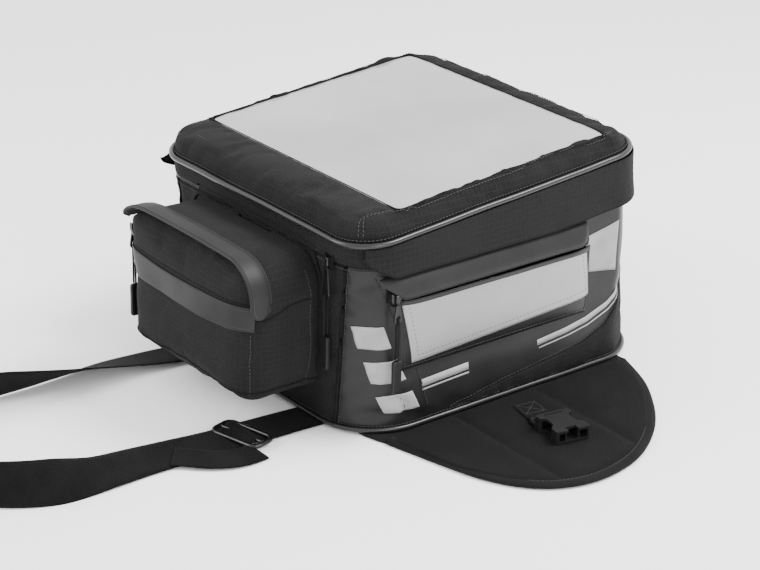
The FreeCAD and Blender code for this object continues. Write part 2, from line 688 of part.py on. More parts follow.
STRAP = [
    (79, -152), (75, -200), (77, -250), (69, -308), (72, -366), (78, -420), (46, -468),
    (-9, -488), (-65, -472), (-101, -426), (-103, -368), (-96, -308), (-100, -250),
    (-93, -197), (-86, -152),
]
TAIL = [(110, -236), (109, -256), (99, -272), (82, -279)]
strap_z = size("strap_thick") / 2
strap = ribbon("headstock_strap", [(x, y, strap_z) for x, y in STRAP], size("strap_wide"),
               size("strap_thick"), "headstock strap")
node(strap, "headstock_strap")
tail_z = size("strap_thick") + 0.4 + size("tail_thick") / 2
tail = ribbon("strap_tail", [(x, y, tail_z) for x, y in TAIL], size("tail_wide"),
              size("tail_thick"), "strap tail")
node(tail, "strap_tail")

glide = ring("strap_glide", "dims.glide_wide", "dims.glide_long", "6", "dims.glide_bar", "0",
             "dims.glide_thick")
bar_half, glide_half = size("glide_bar") / 2, size("glide_wide") / 2
glide_bar = box("glide_bar", (2 - glide_half, -bar_half, 0),
                (glide_half - 2, bar_half, size("glide_thick")))
strap_glide = group("strap_glide_whole", [glide, glide_bar])
strap_glide.Placement = Placement(Vector(78, -225, size("strap_thick") + 0.4),
                                  Rotation(Vector(0, 0, 1), 14))
node(strap_glide, "strap_glide")

# ---------------------------------------------------------------- the left side mirrors the right

for right in [f for f in NODES if f.Label.endswith("_right")]:
    left = doc.addObject("Part::Mirroring", right.Name + "_mirror")
    left.Source = right
    left.Normal = Vector(1, 0, 0)
    node(left, right.Label.replace("_right", "_left"))

doc.recompute()
for feature in doc.Objects:
    if {"Invalid", "Error"} & set(feature.State):
        raise RuntimeError(f"{feature.Name} is {feature.State}")
labels = [feature.Label for feature in NODES]
if len(set(labels)) != len(labels):
    raise RuntimeError("two nodes share a name")
for feature in NODES:
    if feature.Shape.isNull() or not feature.Shape.isValid() or not feature.Shape.Solids:
        raise RuntimeError(f"{feature.Label} has no valid solid")

os.makedirs("parts", exist_ok=True)
for feature in NODES:
    feature.Shape.exportStep(f"parts/{feature.Label}.step")
print(f"{len(NODES)} nodes written")
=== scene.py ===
"""The looks of a soft motorcycle tank bag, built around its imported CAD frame.

+X is the side with the printed stripes, -Y is the front and +Z is up. Shapes are worked out in
millimetres and put in the scene in metres.
"""

import math

import bmesh
import bpy
import numpy as np
from mathutils import Matrix, Vector, noise
from mathutils.bvhtree import BVHTree


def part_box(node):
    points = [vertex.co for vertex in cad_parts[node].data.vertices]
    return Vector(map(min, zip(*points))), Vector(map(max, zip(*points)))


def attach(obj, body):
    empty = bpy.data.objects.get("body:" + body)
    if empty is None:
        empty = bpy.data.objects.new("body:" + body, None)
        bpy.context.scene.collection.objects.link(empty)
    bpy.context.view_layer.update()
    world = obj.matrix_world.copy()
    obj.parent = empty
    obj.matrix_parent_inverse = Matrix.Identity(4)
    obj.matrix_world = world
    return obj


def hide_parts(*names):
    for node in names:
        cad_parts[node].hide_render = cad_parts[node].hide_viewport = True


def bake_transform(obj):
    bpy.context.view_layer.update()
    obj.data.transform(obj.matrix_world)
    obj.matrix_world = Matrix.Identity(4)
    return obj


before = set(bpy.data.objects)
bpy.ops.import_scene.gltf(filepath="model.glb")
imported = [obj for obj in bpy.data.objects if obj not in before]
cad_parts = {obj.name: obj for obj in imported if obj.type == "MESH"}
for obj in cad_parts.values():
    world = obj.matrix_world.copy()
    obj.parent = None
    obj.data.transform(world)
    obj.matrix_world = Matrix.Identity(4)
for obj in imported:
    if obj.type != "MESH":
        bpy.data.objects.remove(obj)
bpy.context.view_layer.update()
MM = 0.001


def node_box(node):
    """A CAD node's lowest and highest corners, in millimetres."""
    low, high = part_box(node)
    return np.array(low) / MM, np.array(high) / MM


# ---------------------------------------------------------------- camera, floor and light


def make_camera():
    azimuth, elevation, roll = (math.radians(v) for v in (51.5, 23.689, 1.252))
    back = Vector((math.sin(azimuth) * math.cos(elevation),
                   -math.cos(azimuth) * math.cos(elevation), math.sin(elevation)))
    right = Vector((math.cos(azimuth), math.sin(azimuth), 0))
    up = back.cross(right)
    across = right * math.cos(roll) + up * math.sin(roll)
    above = up * math.cos(roll) - right * math.sin(roll)
    data = bpy.data.cameras.new("camera")
    data.lens = 106.5
    camera = bpy.data.objects.new("camera", data)
    camera.matrix_world = Matrix((across, above, back)).transposed().to_4x4()
    camera.matrix_world.translation = Vector((1.470, -1.187, 0.886))
    bpy.context.scene.collection.objects.link(camera)
    bpy.context.scene.camera = camera


def area_light(name, at, towards, wide, power):
    data = bpy.data.lights.new(name, "AREA")
    data.shape, data.size, data.energy = "DISK", wide, power
    light = bpy.data.objects.new(name, data)
    light.location = at
    aim = Vector(at) - Vector(towards)
    light.rotation_mode = "QUATERNION"
    light.rotation_quaternion = aim.to_track_quat("Z", "Y")
    bpy.context.scene.collection.objects.link(light)


def make_light():
    world = bpy.data.worlds.new("studio")
    world.use_nodes = True
    sky = world.node_tree.nodes["Background"]
    sky.inputs["Color"].default_value = (1, 1, 1, 1)
    sky.inputs["Strength"].default_value = 1.75
    bpy.context.scene.world = world
    area_light("key", (0.7, 0.8, 1.7), (0, 0, 0.1), 0.9, 62)
    area_light("front", (-0.8, -1.5, 1.1), (0, -0.1, 0.1), 1.0, 26)
    area_light("side", (1.9, -0.5, 0.8), (0.1, 0, 0.1), 0.8, 16)


# ---------------------------------------------------------------- materials


class Paint:
    """A material's node tree, with short ways to add to it."""

    def __init__(self, name, roughness, **sockets):
        self.material = bpy.data.materials.new(name)
        self.material.use_nodes = True
        self.tree = self.material.node_tree
        self.shader = self.tree.nodes["Principled BSDF"]
        self.set(self.shader, Roughness=roughness, **sockets)

    def set(self, node, **sockets):
        for key, value in sockets.items():
            self.feed(node.inputs[key.replace("_", " ")], value)

    def feed(self, socket, value):
        if isinstance(value, bpy.types.NodeSocket):
            self.tree.links.new(value, socket)
        else:
            socket.default_value = value

    def add(self, kind, **sockets):
        node = self.tree.nodes.new("ShaderNode" + kind)
        self.set(node, **sockets)
        return node

    def math(self, operation, first, second=0.0):
        node = self.tree.nodes.new("ShaderNodeMath")
        node.operation = operation
        for socket, value in zip(node.inputs, (first, second)):
            self.feed(socket, value)
        return node.outputs[0]

    def place(self):
        """The point on the piece, in metres."""
        return self.add("TexCoord").outputs["Object"]

    def flat(self):
        """The point laid flat: the two coordinates across the side that the surface faces."""
        coords = self.add("TexCoord")
        at = self.add("SeparateXYZ", Vector=coords.outputs["Object"])
        facing = self.add("SeparateXYZ", Vector=coords.outputs["Normal"])
        sizes = [self.math("ABSOLUTE", facing.outputs[k]) for k in range(3)]
        side = self.math("GREATER_THAN", sizes[0], self.math("MAXIMUM", sizes[1], sizes[2]))
        top = self.math("GREATER_THAN", sizes[2], self.math("MAXIMUM", sizes[0], sizes[1]))
        x, y, z = (at.outputs[k] for k in range(3))
        across = self.math("ADD", x, self.math("MULTIPLY", side, self.math("SUBTRACT", y, x)))
        along = self.math("ADD", z, self.math("MULTIPLY", top, self.math("SUBTRACT", y, z)))
        return self.add("CombineXYZ", X=across, Y=along).outputs[0]

    def noise(self, at, scale, detail=3.0):
        return self.add("TexNoise", Vector=at, Scale=scale, Detail=detail).outputs["Fac"]

    def weave(self, at, thread):
        """The height of a plain weave with threads this far apart."""
        spot = self.add("SeparateXYZ", Vector=at)
        turn = math.pi / thread
        warp = self.math("SINE", self.math("MULTIPLY", spot.outputs[0], turn))
        weft = self.math("SINE", self.math("MULTIPLY", spot.outputs[1], turn))
        crossing = self.math("MULTIPLY", warp, weft)
        ridges = self.math("ADD", self.math("ABSOLUTE", warp), self.math("ABSOLUTE", weft))
        return self.math("ADD", crossing, ridges)

    def shade(self, dark, light, amount):
        """A colour between two greys, by amount."""
        ramp = self.add("ValToRGB", Fac=amount)
        for stop, grey in zip(ramp.color_ramp.elements, (dark, light)):
            stop.color = (grey, grey, grey * 1.02, 1)
        ramp.color_ramp.elements[0].position, ramp.color_ramp.elements[1].position = 0.3, 0.7
        self.set(self.shader, Base_Color=ramp.outputs[0])

    def bump(self, height, distance, strength=1.0):
        node = self.add("Bump", Height=height, Distance=distance, Strength=strength)
        before = self.shader.inputs["Normal"]
        if before.is_linked:
            self.tree.links.new(before.links[0].from_socket, node.inputs["Normal"])
        self.set(self.shader, Normal=node.outputs[0])


def cloth_paint(name, grey, thread, depth, roughness=0.8, sheen=0.02, rib=0.0):
    """Woven cloth. rib is the spacing of a heavier thread in a ripstop, or none."""
    paint = Paint(name, roughness, Sheen_Weight=sheen, Sheen_Roughness=0.5,
                  Specular_IOR_Level=0.07)
    at = paint.flat()
    height = paint.weave(at, thread)
    wear = paint.noise(paint.place(), 22.0, 5.0)
    grain = paint.noise(at, 900.0, 2.0)
    tone = paint.math("ADD", paint.math("MULTIPLY", wear, 0.55),
                      paint.math("ADD", paint.math("MULTIPLY", height, 0.09),
                                 paint.math("MULTIPLY", grain, 0.35)))
    if rib:
        spot = paint.add("SeparateXYZ", Vector=at)
        lines = paint.math("MAXIMUM", *(paint.math("GREATER_THAN", paint.math(
            "COSINE", paint.math("MULTIPLY", spot.outputs[k], 2 * math.pi / rib)), 0.8)
            for k in (0, 1)))
        tone = paint.math("ADD", tone, paint.math("MULTIPLY", lines, 0.16))
        paint.bump(lines, depth * 0.8, 0.5)
    paint.shade(grey * 0.55, grey * 1.5, tone)
    paint.bump(height, depth)
    paint.bump(paint.noise(paint.place(), 60.0, 4.0), 0.0012, 0.35)
    return paint.material


def coated_paint(name, grey, roughness, fine=1400.0, depth=0.00012, coat=0.0):
    """Smooth coated cloth, rubber or moulded plastic with a fine grain."""
    paint = Paint(name, roughness, Coat_Weight=coat, Coat_Roughness=0.25,
                  Specular_IOR_Level=0.2)
    paint.shade(grey * 0.8, grey * 1.25, paint.noise(paint.place(), 30.0, 6.0))
    paint.bump(paint.noise(paint.place(), fine, 2.0), depth, 0.7)
    paint.bump(paint.noise(paint.place(), 45.0, 3.0), 0.0009, 0.3)
    return paint.material


def webbing_paint(name, grey):
    """Woven strap with a fine twill."""
    paint = Paint(name, 0.75, Sheen_Weight=0.02, Specular_IOR_Level=0.08)
    coords = paint.add("TexCoord")
    at = paint.add("SeparateXYZ", Vector=coords.outputs["UV"])
    lean = paint.math("ADD", at.outputs[0], at.outputs[1])
    twill = paint.math("SINE", paint.math("MULTIPLY", lean, 2 * math.pi / 0.0022))
    yarn = paint.math("SINE", paint.math("MULTIPLY", at.outputs[1], 2 * math.pi / 0.0016))
    height = paint.math("ADD", twill, paint.math("MULTIPLY", yarn, 0.6))
    tone = paint.math("ADD", paint.math("MULTIPLY", height, 0.13),
                      paint.noise(paint.place(), 40.0, 4.0))
    paint.shade(grey * 0.6, grey * 1.7, tone)
    paint.bump(height, 0.0002)
    return paint.material


def metal_paint(name, grey, roughness):
    paint = Paint(name, roughness, Metallic=0.85)
    paint.shade(grey * 0.8, grey * 1.3, paint.noise(paint.place(), 260.0, 4.0))
    paint.bump(paint.noise(paint.place(), 500.0, 3.0), 0.00004, 0.5)
    return paint.material


def reflective_paint(name, grey):
    """Silver retroreflective cloth with a fine printed mesh."""
    paint = Paint(name, 0.42, Metallic=0.25, Specular_IOR_Level=0.6)
    at = paint.flat()
    mesh = paint.weave(at, 0.0016)
    tone = paint.math("ADD", paint.math("MULTIPLY", mesh, 0.06),
                      paint.math("MULTIPLY", paint.noise(paint.place(), 18.0, 5.0), 0.5))
    paint.shade(grey * 0.82, grey * 1.12, tone)
    paint.bump(mesh, 0.00005)
    return paint.material


def window_paint():
    """The clear window's sheet, with soft ripples; its light grey colour is a painted reflection of
    the bright room.
    """
    paint = Paint("window", 0.16, IOR=1.46, Coat_Weight=0.6, Coat_Roughness=0.06,
                  Transmission_Weight=0.18)
    # the light grey base colour, varying softly, is a painted reflection of the bright room in the
    # clear sheet
    painted_reflection = paint.noise(paint.place(), 7.0, 3.0)
    paint.shade(0.34, 0.46, painted_reflection)
    paint.bump(paint.noise(paint.place(), 16.0, 2.0), 0.004, 0.35)
    paint.bump(paint.noise(paint.place(), 90.0, 2.0), 0.0006, 0.12)
    return paint.material


def make_paints():
    return {
        "cloth": cloth_paint("cloth", 0.0085, 0.0011, 0.00022, rib=0.005),
        "smooth": coated_paint("smooth", 0.011, 0.5),
        "vinyl": coated_paint("vinyl", 0.011, 0.42, coat=0.03),
        "rubber": coated_paint("rubber", 0.006, 0.7, fine=900.0, depth=0.0003),
        "plastic": coated_paint("plastic", 0.009, 0.34, depth=0.00006),
        "board": coated_paint("board", 0.10, 0.6),
        "trim": coated_paint("trim", 0.030, 0.5),
        "grip": coated_paint("grip", 0.008, 0.45, fine=800.0),
        "cord": cloth_paint("cord", 0.007, 0.0006, 0.00012),
        "piping": coated_paint("piping", 0.012, 0.34, fine=700.0, coat=0.4),
        "binding": cloth_paint("binding", 0.006, 0.0009, 0.0002),
        "quilt": cloth_paint("quilt", 0.0042, 0.0010, 0.00030),
        "webbing": webbing_paint("webbing", 0.0032),
        "thread": coated_paint("thread", 0.034, 0.7),
        "metal": metal_paint("metal", 0.03, 0.3),
        "magnet": metal_paint("magnet", 0.5, 0.3),
        "reflective": reflective_paint("reflective", 0.34),
        "print": coated_paint("print", 0.27, 0.45),
        "tape": cloth_paint("tape", 0.008, 0.0008, 0.0002),
        "window": window_paint(),
    }


# ---------------------------------------------------------------- meshes


def new_piece(name, points, faces, paint, body, slot, node=None, uv=None):
    """A mesh from points in millimetres, which rides on a body and takes the given paint.

    It may stand for a CAD node. Its slot argument is not used.
    """
    mesh = bpy.data.meshes.new(name)
    mesh.from_pydata((np.asarray(points, float) * MM).tolist(), [], [list(f) for f in faces])
    mesh.validate()
    mesh.shade_smooth()
    piece = bpy.data.objects.new(name, mesh)
    bpy.context.scene.collection.objects.link(piece)
    mesh.materials.append(PAINTS[paint])
    if uv is not None:
        layer = mesh.uv_layers.new(name="along")
        for loop in mesh.loops:
            layer.data[loop.index].uv = uv[loop.vertex_index]
    if body:
        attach(piece, body)
    if node:
        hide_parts(node)
    return piece


def grid_faces(rows, columns, closed=False):
    """The quads of a grid. A closed one joins its last column to its first."""
    faces = []
    for j in range(rows - 1):
        for i in range(columns if closed else columns - 1):
            after = (i + 1) % columns
            faces.append((j * columns + i, j * columns + after,
                          (j + 1) * columns + after, (j + 1) * columns + i))
    return faces


def capped_faces(rows, columns):
    """The quads of a closed grid, with its first and last row filled in."""
    return grid_faces(rows, columns, closed=True) + [
        tuple(range(columns))[::-1], tuple((rows - 1) * columns + i for i in range(columns))]


def mirrored(points, faces, way):
    """The same shape on the right (way 1) or the left (way -1)."""
    points = np.asarray(points, float) * (way, 1, 1)
    return points, faces if way > 0 else [tuple(f)[::-1] for f in faces]


def sheet(name, grid, paint, body, slot, node=None, thick=2.0, levels=1, offset=-1.0, way=1,
          flip=False, closed=False):
    """A sheet of cloth over a grid of points. way -1 mirrors it."""
    faces = grid_faces(*grid.shape[:2], closed=closed)
    if flip:
        faces = [f[::-1] for f in faces]
    piece = new_piece(name, *mirrored(grid.reshape(-1, 3), faces, way), paint, body, slot, node)
    return finish_cloth(piece, thick, levels, offset)


def rod(name, path, radius, paint, body, slot, node=None, around=8, **shape):
    """A round piece along a path, such as a welt or a cord."""
    return new_piece(name, *tube(path, radius, around=around, **shape), paint, body, slot, node)


def add_modifier(piece, kind, **settings):
    modifier = piece.modifiers.new(kind.lower(), kind)
    for key, value in settings.items():
        setattr(modifier, key, value)
    return modifier


def finish_cloth(piece, thick, levels=1, offset=-1.0):
    """Gives a sheet its thickness, in millimetres, and smooths it."""
    if thick:
        add_modifier(piece, "SOLIDIFY", thickness=thick * MM, offset=offset)
    if levels:
        add_modifier(piece, "SUBSURF", levels=levels, render_levels=levels)
    return piece


def finish_node(node, paint, bevel):
    """Gives a CAD node that stays in view its material, and edges rounded by bevel, in mm."""
    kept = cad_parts[node]
    for place in kept.material_slots:
        place.material = PAINTS[paint]
    add_modifier(kept, "BEVEL", width=bevel * MM, segments=2, limit_method="ANGLE",
                 angle_limit=math.radians(35))
    add_modifier(kept, "WEIGHTED_NORMAL")


def outline(width, length, corner, along=26, bend=15, side=44):
    """A rounded rectangle's points and outward normals, from the middle of the front round by +X."""
    x, y = width / 2 - corner, length / 2 - corner
    centres = [(x, -y), (x, y), (-x, y), (-x, -y)]
    straights = [along, side, 2 * along, side, along]
    points, normals = [], []

    def straight(start, end, count, normal):
        for k in range(count):
            points.append(np.array(start) + (np.array(end) - np.array(start)) * k / count)
            normals.append(normal)

    at = np.array((0.0, -length / 2))
    for k, centre in enumerate(centres):
        first = -math.pi / 2 + k * math.pi / 2
        normal = np.array((math.cos(first), math.sin(first)))
        start = np.array(centre) + corner * normal
        straight(at, start, straights[k], normal)
        for n in range(bend):
            angle = first + (math.pi / 2) * n / bend
            normal = np.array((math.cos(angle), math.sin(angle)))
            points.append(np.array(centre) + corner * normal)
            normals.append(normal)
        last = first + math.pi / 2
        at = np.array(centre) + corner * np.array((math.cos(last), math.sin(last)))
    straight(at, (0.0, -length / 2), straights[4], np.array((0.0, -1.0)))
    return np.array(points), np.array(normals)


ALONG, BEND, SIDE = 26, 15, 44
SEAM = 3  # columns into a corner where the side panel's seam is
RIGHT_SEAMS = (ALONG + SEAM, ALONG + BEND + SIDE + BEND - SEAM)
LEFT_SEAMS = (RIGHT_SEAMS[1] + 2 * (ALONG + SEAM), RIGHT_SEAMS[1] + 2 * (ALONG + SEAM)
              + RIGHT_SEAMS[1] - RIGHT_SEAMS[0])
SEAMS = (*RIGHT_SEAMS, *LEFT_SEAMS)

BASE = (293, 331, 55)
BASE_SHIFT = np.array((0, 13.5))
TOP = (298, 314, 36)
LID_RISE, LID_TILT = 192, math.radians(4.64)
ZIP_DROP = 22


def on_lid(x, y, z):
    """A point of the lid's own tilted frame, in the bag's frame."""
    return np.stack([x, y * math.cos(LID_TILT) - z * math.sin(LID_TILT),
                     LID_RISE + y * math.sin(LID_TILT) + z * math.cos(LID_TILT)], -1)


def travelled(path):
    """How far along a path each of its points is."""
    return np.r_[0, np.cumsum(np.linalg.norm(np.diff(path, axis=0), axis=1))]


def at_height(flat, height):
    """Points of the ground plan, x and y, put at a height."""
    return np.column_stack([flat, np.full(len(flat), height)])


def at_depth(front, y):
    """Points of the front view, x and z, put at a distance y."""
    return np.column_stack([front[:, 0], np.full(len(front), y), front[:, 1]])


def turning(angle):
    """The matrix that turns rows of x and y by an angle."""
    return np.array(((math.cos(angle), math.sin(angle)), (-math.sin(angle), math.cos(angle))))


def crossed_box(near, far, half):
    """The three lines of a sewn box with a cross in it."""
    a, b, c, d = (near, -half), (far, -half), (far, half), (near, half)
    return [a, b, c, d, a], [a, c], [d, b]


def unit(rows):
    """Each row of an array made one long."""
    return rows / np.linalg.norm(rows, axis=1)[:, None]


def wobble(points, scale, depth, seed=0.0):
    """A smooth uneven push, in millimetres, at each point."""
    shift = Vector((seed, seed * 0.7, -seed))
    return np.array([noise.noise(Vector(p) * scale + shift) for p in points]) * depth


def tube(path, radius, closed=False, around=10, flatten=1.0):
    """The points and quads of a tube along a path of points in millimetres."""
    path = np.asarray(path, float)
    count = len(path)
    along = unit(np.roll(path, -1, 0) - np.roll(path, 1, 0) if closed else
                 np.gradient(path, axis=0))
    first = np.cross((0.0, 0.0, 1.0), along)
    small = np.linalg.norm(first, axis=1) < 0.2
    first[small] = np.cross((1.0, 0.0, 0.0), along[small])
    first = unit(first)
    second = np.cross(along, first)
    angles = np.arange(around) * 2 * math.pi / around
    cos, sin = np.cos(angles)[None, :, None], np.sin(angles)[None, :, None]
    points = path[:, None] + radius * (cos * first[:, None] + flatten * sin * second[:, None])
    points = points.reshape(-1, 3)
    if closed:
        return points, [tuple(i % len(points) for i in f)
                        for f in grid_faces(count + 1, around, closed=True)]
    return points, capped_faces(count, around)


def resample(path, spacing, closed=False):
    """Points evenly spaced along a path."""
    path = np.asarray(path, float)
    if closed:
        path = np.vstack([path, path[:1]])
    steps = travelled(path)
    count = max(2, int(round(steps[-1] / spacing)) + 1)
    wanted = np.linspace(0, steps[-1], count)
    out = np.stack([np.interp(wanted, steps, path[:, k]) for k in range(path.shape[1])], 1)
    return out[:-1] if closed else out


def joined_parts(parts):
    """Several (points, faces) as one."""
    points, faces, start = [], [], 0
    for part_points, part_faces in parts:
        points.append(part_points)
        faces += [tuple(i + start for i in f) for f in part_faces]
        start += len(part_points)
    return np.vstack(points), faces


def stitches(name, path, body, slot, pitch=3.6, length=2.5, thick=0.42, paint="thread",
             closed=False):
    """A row of short raised stitches along a path."""
    dense = resample(path, pitch / 6, closed)
    parts = []
    span = max(1, int(round(length / pitch * 6)))
    for start in range(0, len(dense) - span, 6):
        run = dense[start:start + span + 1][::max(1, span // 3)]
        if len(run) > 1:
            parts.append(tube(run, thick, around=5))
    points, faces = joined_parts(parts)
    return new_piece(name, points, faces, paint, body, slot)


def teeth(name, path, out, across, body, slot, pitch=1.9):
    """A zip's row of teeth along a path. out and across are the way it faces and its width's way."""
    spots = resample(path, pitch)
    along = unit(np.gradient(spots, axis=0))
    parts = []
    block = [(a, b, c) for a in (-0.5, 0.5) for b in (-0.5, 0.5) for c in (-0.5, 0.5)]
    sides = [(0, 1, 3, 2), (4, 6, 7, 5), (0, 4, 5, 1), (2, 3, 7, 6), (0, 2, 6, 4), (1, 5, 7, 3)]
    for k, (spot, way) in enumerate(zip(spots, along)):
        face = out(k / (len(spots) - 1)) if callable(out) else np.asarray(out, float)
        up = np.asarray(across, float)
        lean = 0.35 if k % 2 else -0.35
        points = [spot + way * a * pitch * 0.62 + up * (b * 3.2 + lean) + face * (c * 1.5 + 0.4)
                  for a, b, c in block]
        parts.append((np.array(points), sides))
    points, faces = joined_parts(parts)
    return new_piece(name, points, faces, "plastic", body, slot)


INFLATE_FRAMES = 16
CLOTH_SETTINGS = {
    "quality": 5, "mass": 0.15, "tension_stiffness": 18, "compression_stiffness": 18,
    "shear_stiffness": 8, "bending_stiffness": 0.6, "use_pressure": True,
    "vertex_group_mass": "held",
}


def inflate(points, faces, held, pressure, cap, spare):
    """Where a mesh's points go when Blender's cloth blows it up a little, its held points pinned.

    No point moves further than about cap millimetres. spare is extra cloth, as a share.
    """
    piece = new_piece("blown_up", points, faces, "cloth", None, None)
    before = np.array([v.co for v in piece.data.vertices])
    group = piece.vertex_groups.new(name="held")
    group.add([int(i) for i in np.flatnonzero(held)], 1.0, "REPLACE")
    cloth = add_modifier(piece, "CLOTH")
    for key, value in CLOTH_SETTINGS.items():
        setattr(cloth.settings, key, value)
    cloth.settings.uniform_pressure_force = pressure
    cloth.settings.shrink_min = -spare
    cloth.settings.effector_weights.gravity = 0
    cloth.collision_settings.use_collision = False
    cloth.point_cache.frame_start, cloth.point_cache.frame_end = 1, INFLATE_FRAMES
    for step in range(1, INFLATE_FRAMES + 1):
        bpy.context.scene.frame_set(step)
    evaluated = piece.evaluated_get(bpy.context.evaluated_depsgraph_get())
    after = np.array([v.co for v in evaluated.data.vertices])
    bpy.context.scene.frame_set(1)
    move = after - before
    far = np.linalg.norm(move, axis=1)[:, None] + 1e-9
    move *= cap * MM * np.tanh(far / (cap * MM)) / far
    before = before + move
    bpy.data.objects.remove(piece)
    return before / MM


PAINTS = make_paints()
make_camera()
make_light()

# ---------------------------------------------------------------- headstock strap

# The strap's route is its CAD solid's. Each point is x, y and the lean from lying flat, in degrees.
STRAP_WIDE, TAIL_WIDE, STRAP_THICK = 38, 26, 1.7
STRAP = [
    (79, -152, 0), (75, -200, 2), (77, -250, 6), (69, -308, 9), (72, -366, 20), (78, -420, 66),
    (46, -468, 84), (-9, -488, 84), (-65, -472, 82), (-101, -426, 76), (-103, -368, 62),
    (-96, -308, 38), (-100, -250, 16), (-93, -197, 4), (-86, -152, 0),
]
TAIL = [(108, -229, 7), (110, -243, 7), (107, -259, 7), (98, -274, 7), (86, -286, 7),
        (78, -295, 6)]
GLIDE_AT, GLIDE_TURN = np.array((78.0, -225.0)), math.radians(14)


def smooth_line(name, points):
    """A smooth line through the air near these points, in millimetres, as many close points."""
    data = bpy.data.curves.new(name, "CURVE")
    data.dimensions = "3D"
    data.resolution_u = 24
    spline = data.splines.new("NURBS")
    spline.points.add(len(points) - 1)
    for point, at in zip(spline.points, points):
        point.co = (*(np.array(at) * MM), 1)
    spline.order_u = 3
    spline.use_endpoint_u = True
    line = bpy.data.objects.new(name, data)
    bpy.context.scene.collection.objects.link(line)
    bpy.context.view_layer.update()
    mesh = bpy.data.meshes.new_from_object(line.evaluated_get(
        bpy.context.evaluated_depsgraph_get()))
    path = np.array([v.co for v in mesh.vertices]) / MM
    bpy.data.objects.remove(line)
    bpy.data.meshes.remove(mesh)
    return path


def rest_height(lean, wide, thick):
    """How high a leaning strap's middle is when its lower edge is on the floor."""
    return wide / 2 * math.sin(math.radians(lean)) + thick / 2


def ribbon(name, path, leans, wide, thick, body, node):
    """A woven strap along a path, with its edges rounded, leaning from flat by these angles."""
    across_count = 11
    along = unit(np.gradient(path, axis=0))
    level = unit(np.cross(along, (0.0, 0.0, 1.0)))
    rise = np.cross(level, along)
    lean = np.radians(leans)[:, None]
    across = level * np.cos(lean) + rise * np.sin(lean)
    face = np.cross(across, along)
    steps = travelled(path)
    section = []
    for k in range(across_count):
        section.append((-0.5 + k / (across_count - 1), 0.5))
    section += [(a, -b) for a, b in section[::-1]]
    points, uv = [], []
    for a, b in section:
        edge = math.sqrt(max(0.0, 1 - (2 * abs(a)) ** 8))
        height = b * thick * (0.35 + 0.65 * edge)
        points.append(path + across * (a * wide) + face * height)
        uv.append(np.stack([steps * MM, np.full(len(path), a * wide * MM)], 1))
    points = np.stack(points, 1).reshape(-1, 3)
    uv = np.stack(uv, 1).reshape(-1, 2)
    return new_piece(name, points, capped_faces(len(path), len(section)), "webbing", body,
                     "webbing", node, uv)


def route(name, places, wide, thick, lifts=()):
    """A strap's centreline and lean, from its points. lifts are extra heights at some points."""
    points = [(x, y, rest_height(lean, wide, thick)) for x, y, lean in places]
    for k, lift in lifts:
        x, y, z = points[k]
        points[k] = (x, y, z + lift)
    path = smooth_line(name, points)
    chain = np.array([(x, y) for x, y, lean in places], float)
    leans = np.array([lean for x, y, lean in places], float)
    marks = travelled(chain)
    steps = travelled(path[:, :2])
    spread = np.interp(steps / steps[-1] * marks[-1], marks, leans)
    return path, np.convolve(np.pad(spread, 6, "edge"), np.ones(13) / 13, "valid")


def make_strap():
    path, leans = route("strap_line", STRAP, STRAP_WIDE, STRAP_THICK)
    step = np.linalg.norm(path[:, :2] - (GLIDE_AT + (0, 2)), axis=1)
    path[:, 2] += 0.75 + 5.2 * np.exp(-(step / 5.5) ** 2)  # over the tri-glide's middle bar
    strap = ribbon("strap", path, leans, STRAP_WIDE, STRAP_THICK, "bag", "headstock_strap")
    tail_path, tail_leans = route("tail_line", TAIL, TAIL_WIDE, STRAP_THICK)
    tail_path[:, 2] += np.linspace(0.4, 3.2, len(tail_path))
    tail = ribbon("tail", tail_path, tail_leans, TAIL_WIDE, STRAP_THICK, "strap_glide",
                  "strap_tail")
    glide = make_glide()


def make_glide():
    """The tri-glide, bent from round wire."""
    wide, long_ = 50, 24
    loop, _ = outline(wide, long_, 7, along=10, bend=8, side=6)
    bar = np.column_stack([np.linspace(-wide / 2, wide / 2, 12), np.zeros(12)])
    loop, bar = (at_height(flat @ turning(GLIDE_TURN) + GLIDE_AT, 4.9) for flat in (loop, bar))
    parts = [tube(loop, 2.2, closed=True, around=12), tube(bar, 1.9, around=12)]
    return new_piece("tri_glide", *joined_parts(parts), "metal", "strap_glide", "wire",
                     "strap_glide")


make_strap()

# ---------------------------------------------------------------- base and walls


def wall_rows(rows, inset=0.0):
    """The wall's points before the cloth is blown out, row by row from the base to the zip."""
    low, _ = outline(BASE[0] - 2 * inset, BASE[1] - 2 * inset, BASE[2] - inset)
    low = at_height(low + BASE_SHIFT, 3.5)
    flat, _ = outline(TOP[0] - 2 * inset, TOP[1] - 2 * inset, TOP[2] - inset)
    high = on_lid(flat[:, 0], flat[:, 1], -ZIP_DROP)
    share = np.linspace(0, 1, rows)[:, None, None]
    return low[None] * (1 - share) + high[None] * share


class Surface:
    """A finished mesh that other pieces are laid on."""

    def __init__(self, points, faces):
        self.tree = BVHTree.FromPolygons([Vector(p) for p in points], faces)

    def lay(self, points, lift):
        """The nearest points of the surface, lifted off it, in millimetres."""
        out = []
        for p in np.asarray(points, float):
            spot, normal, _, _ = self.tree.find_nearest(Vector(p))
            out.append(spot + normal * lift)
        return np.array([tuple(v) for v in out])


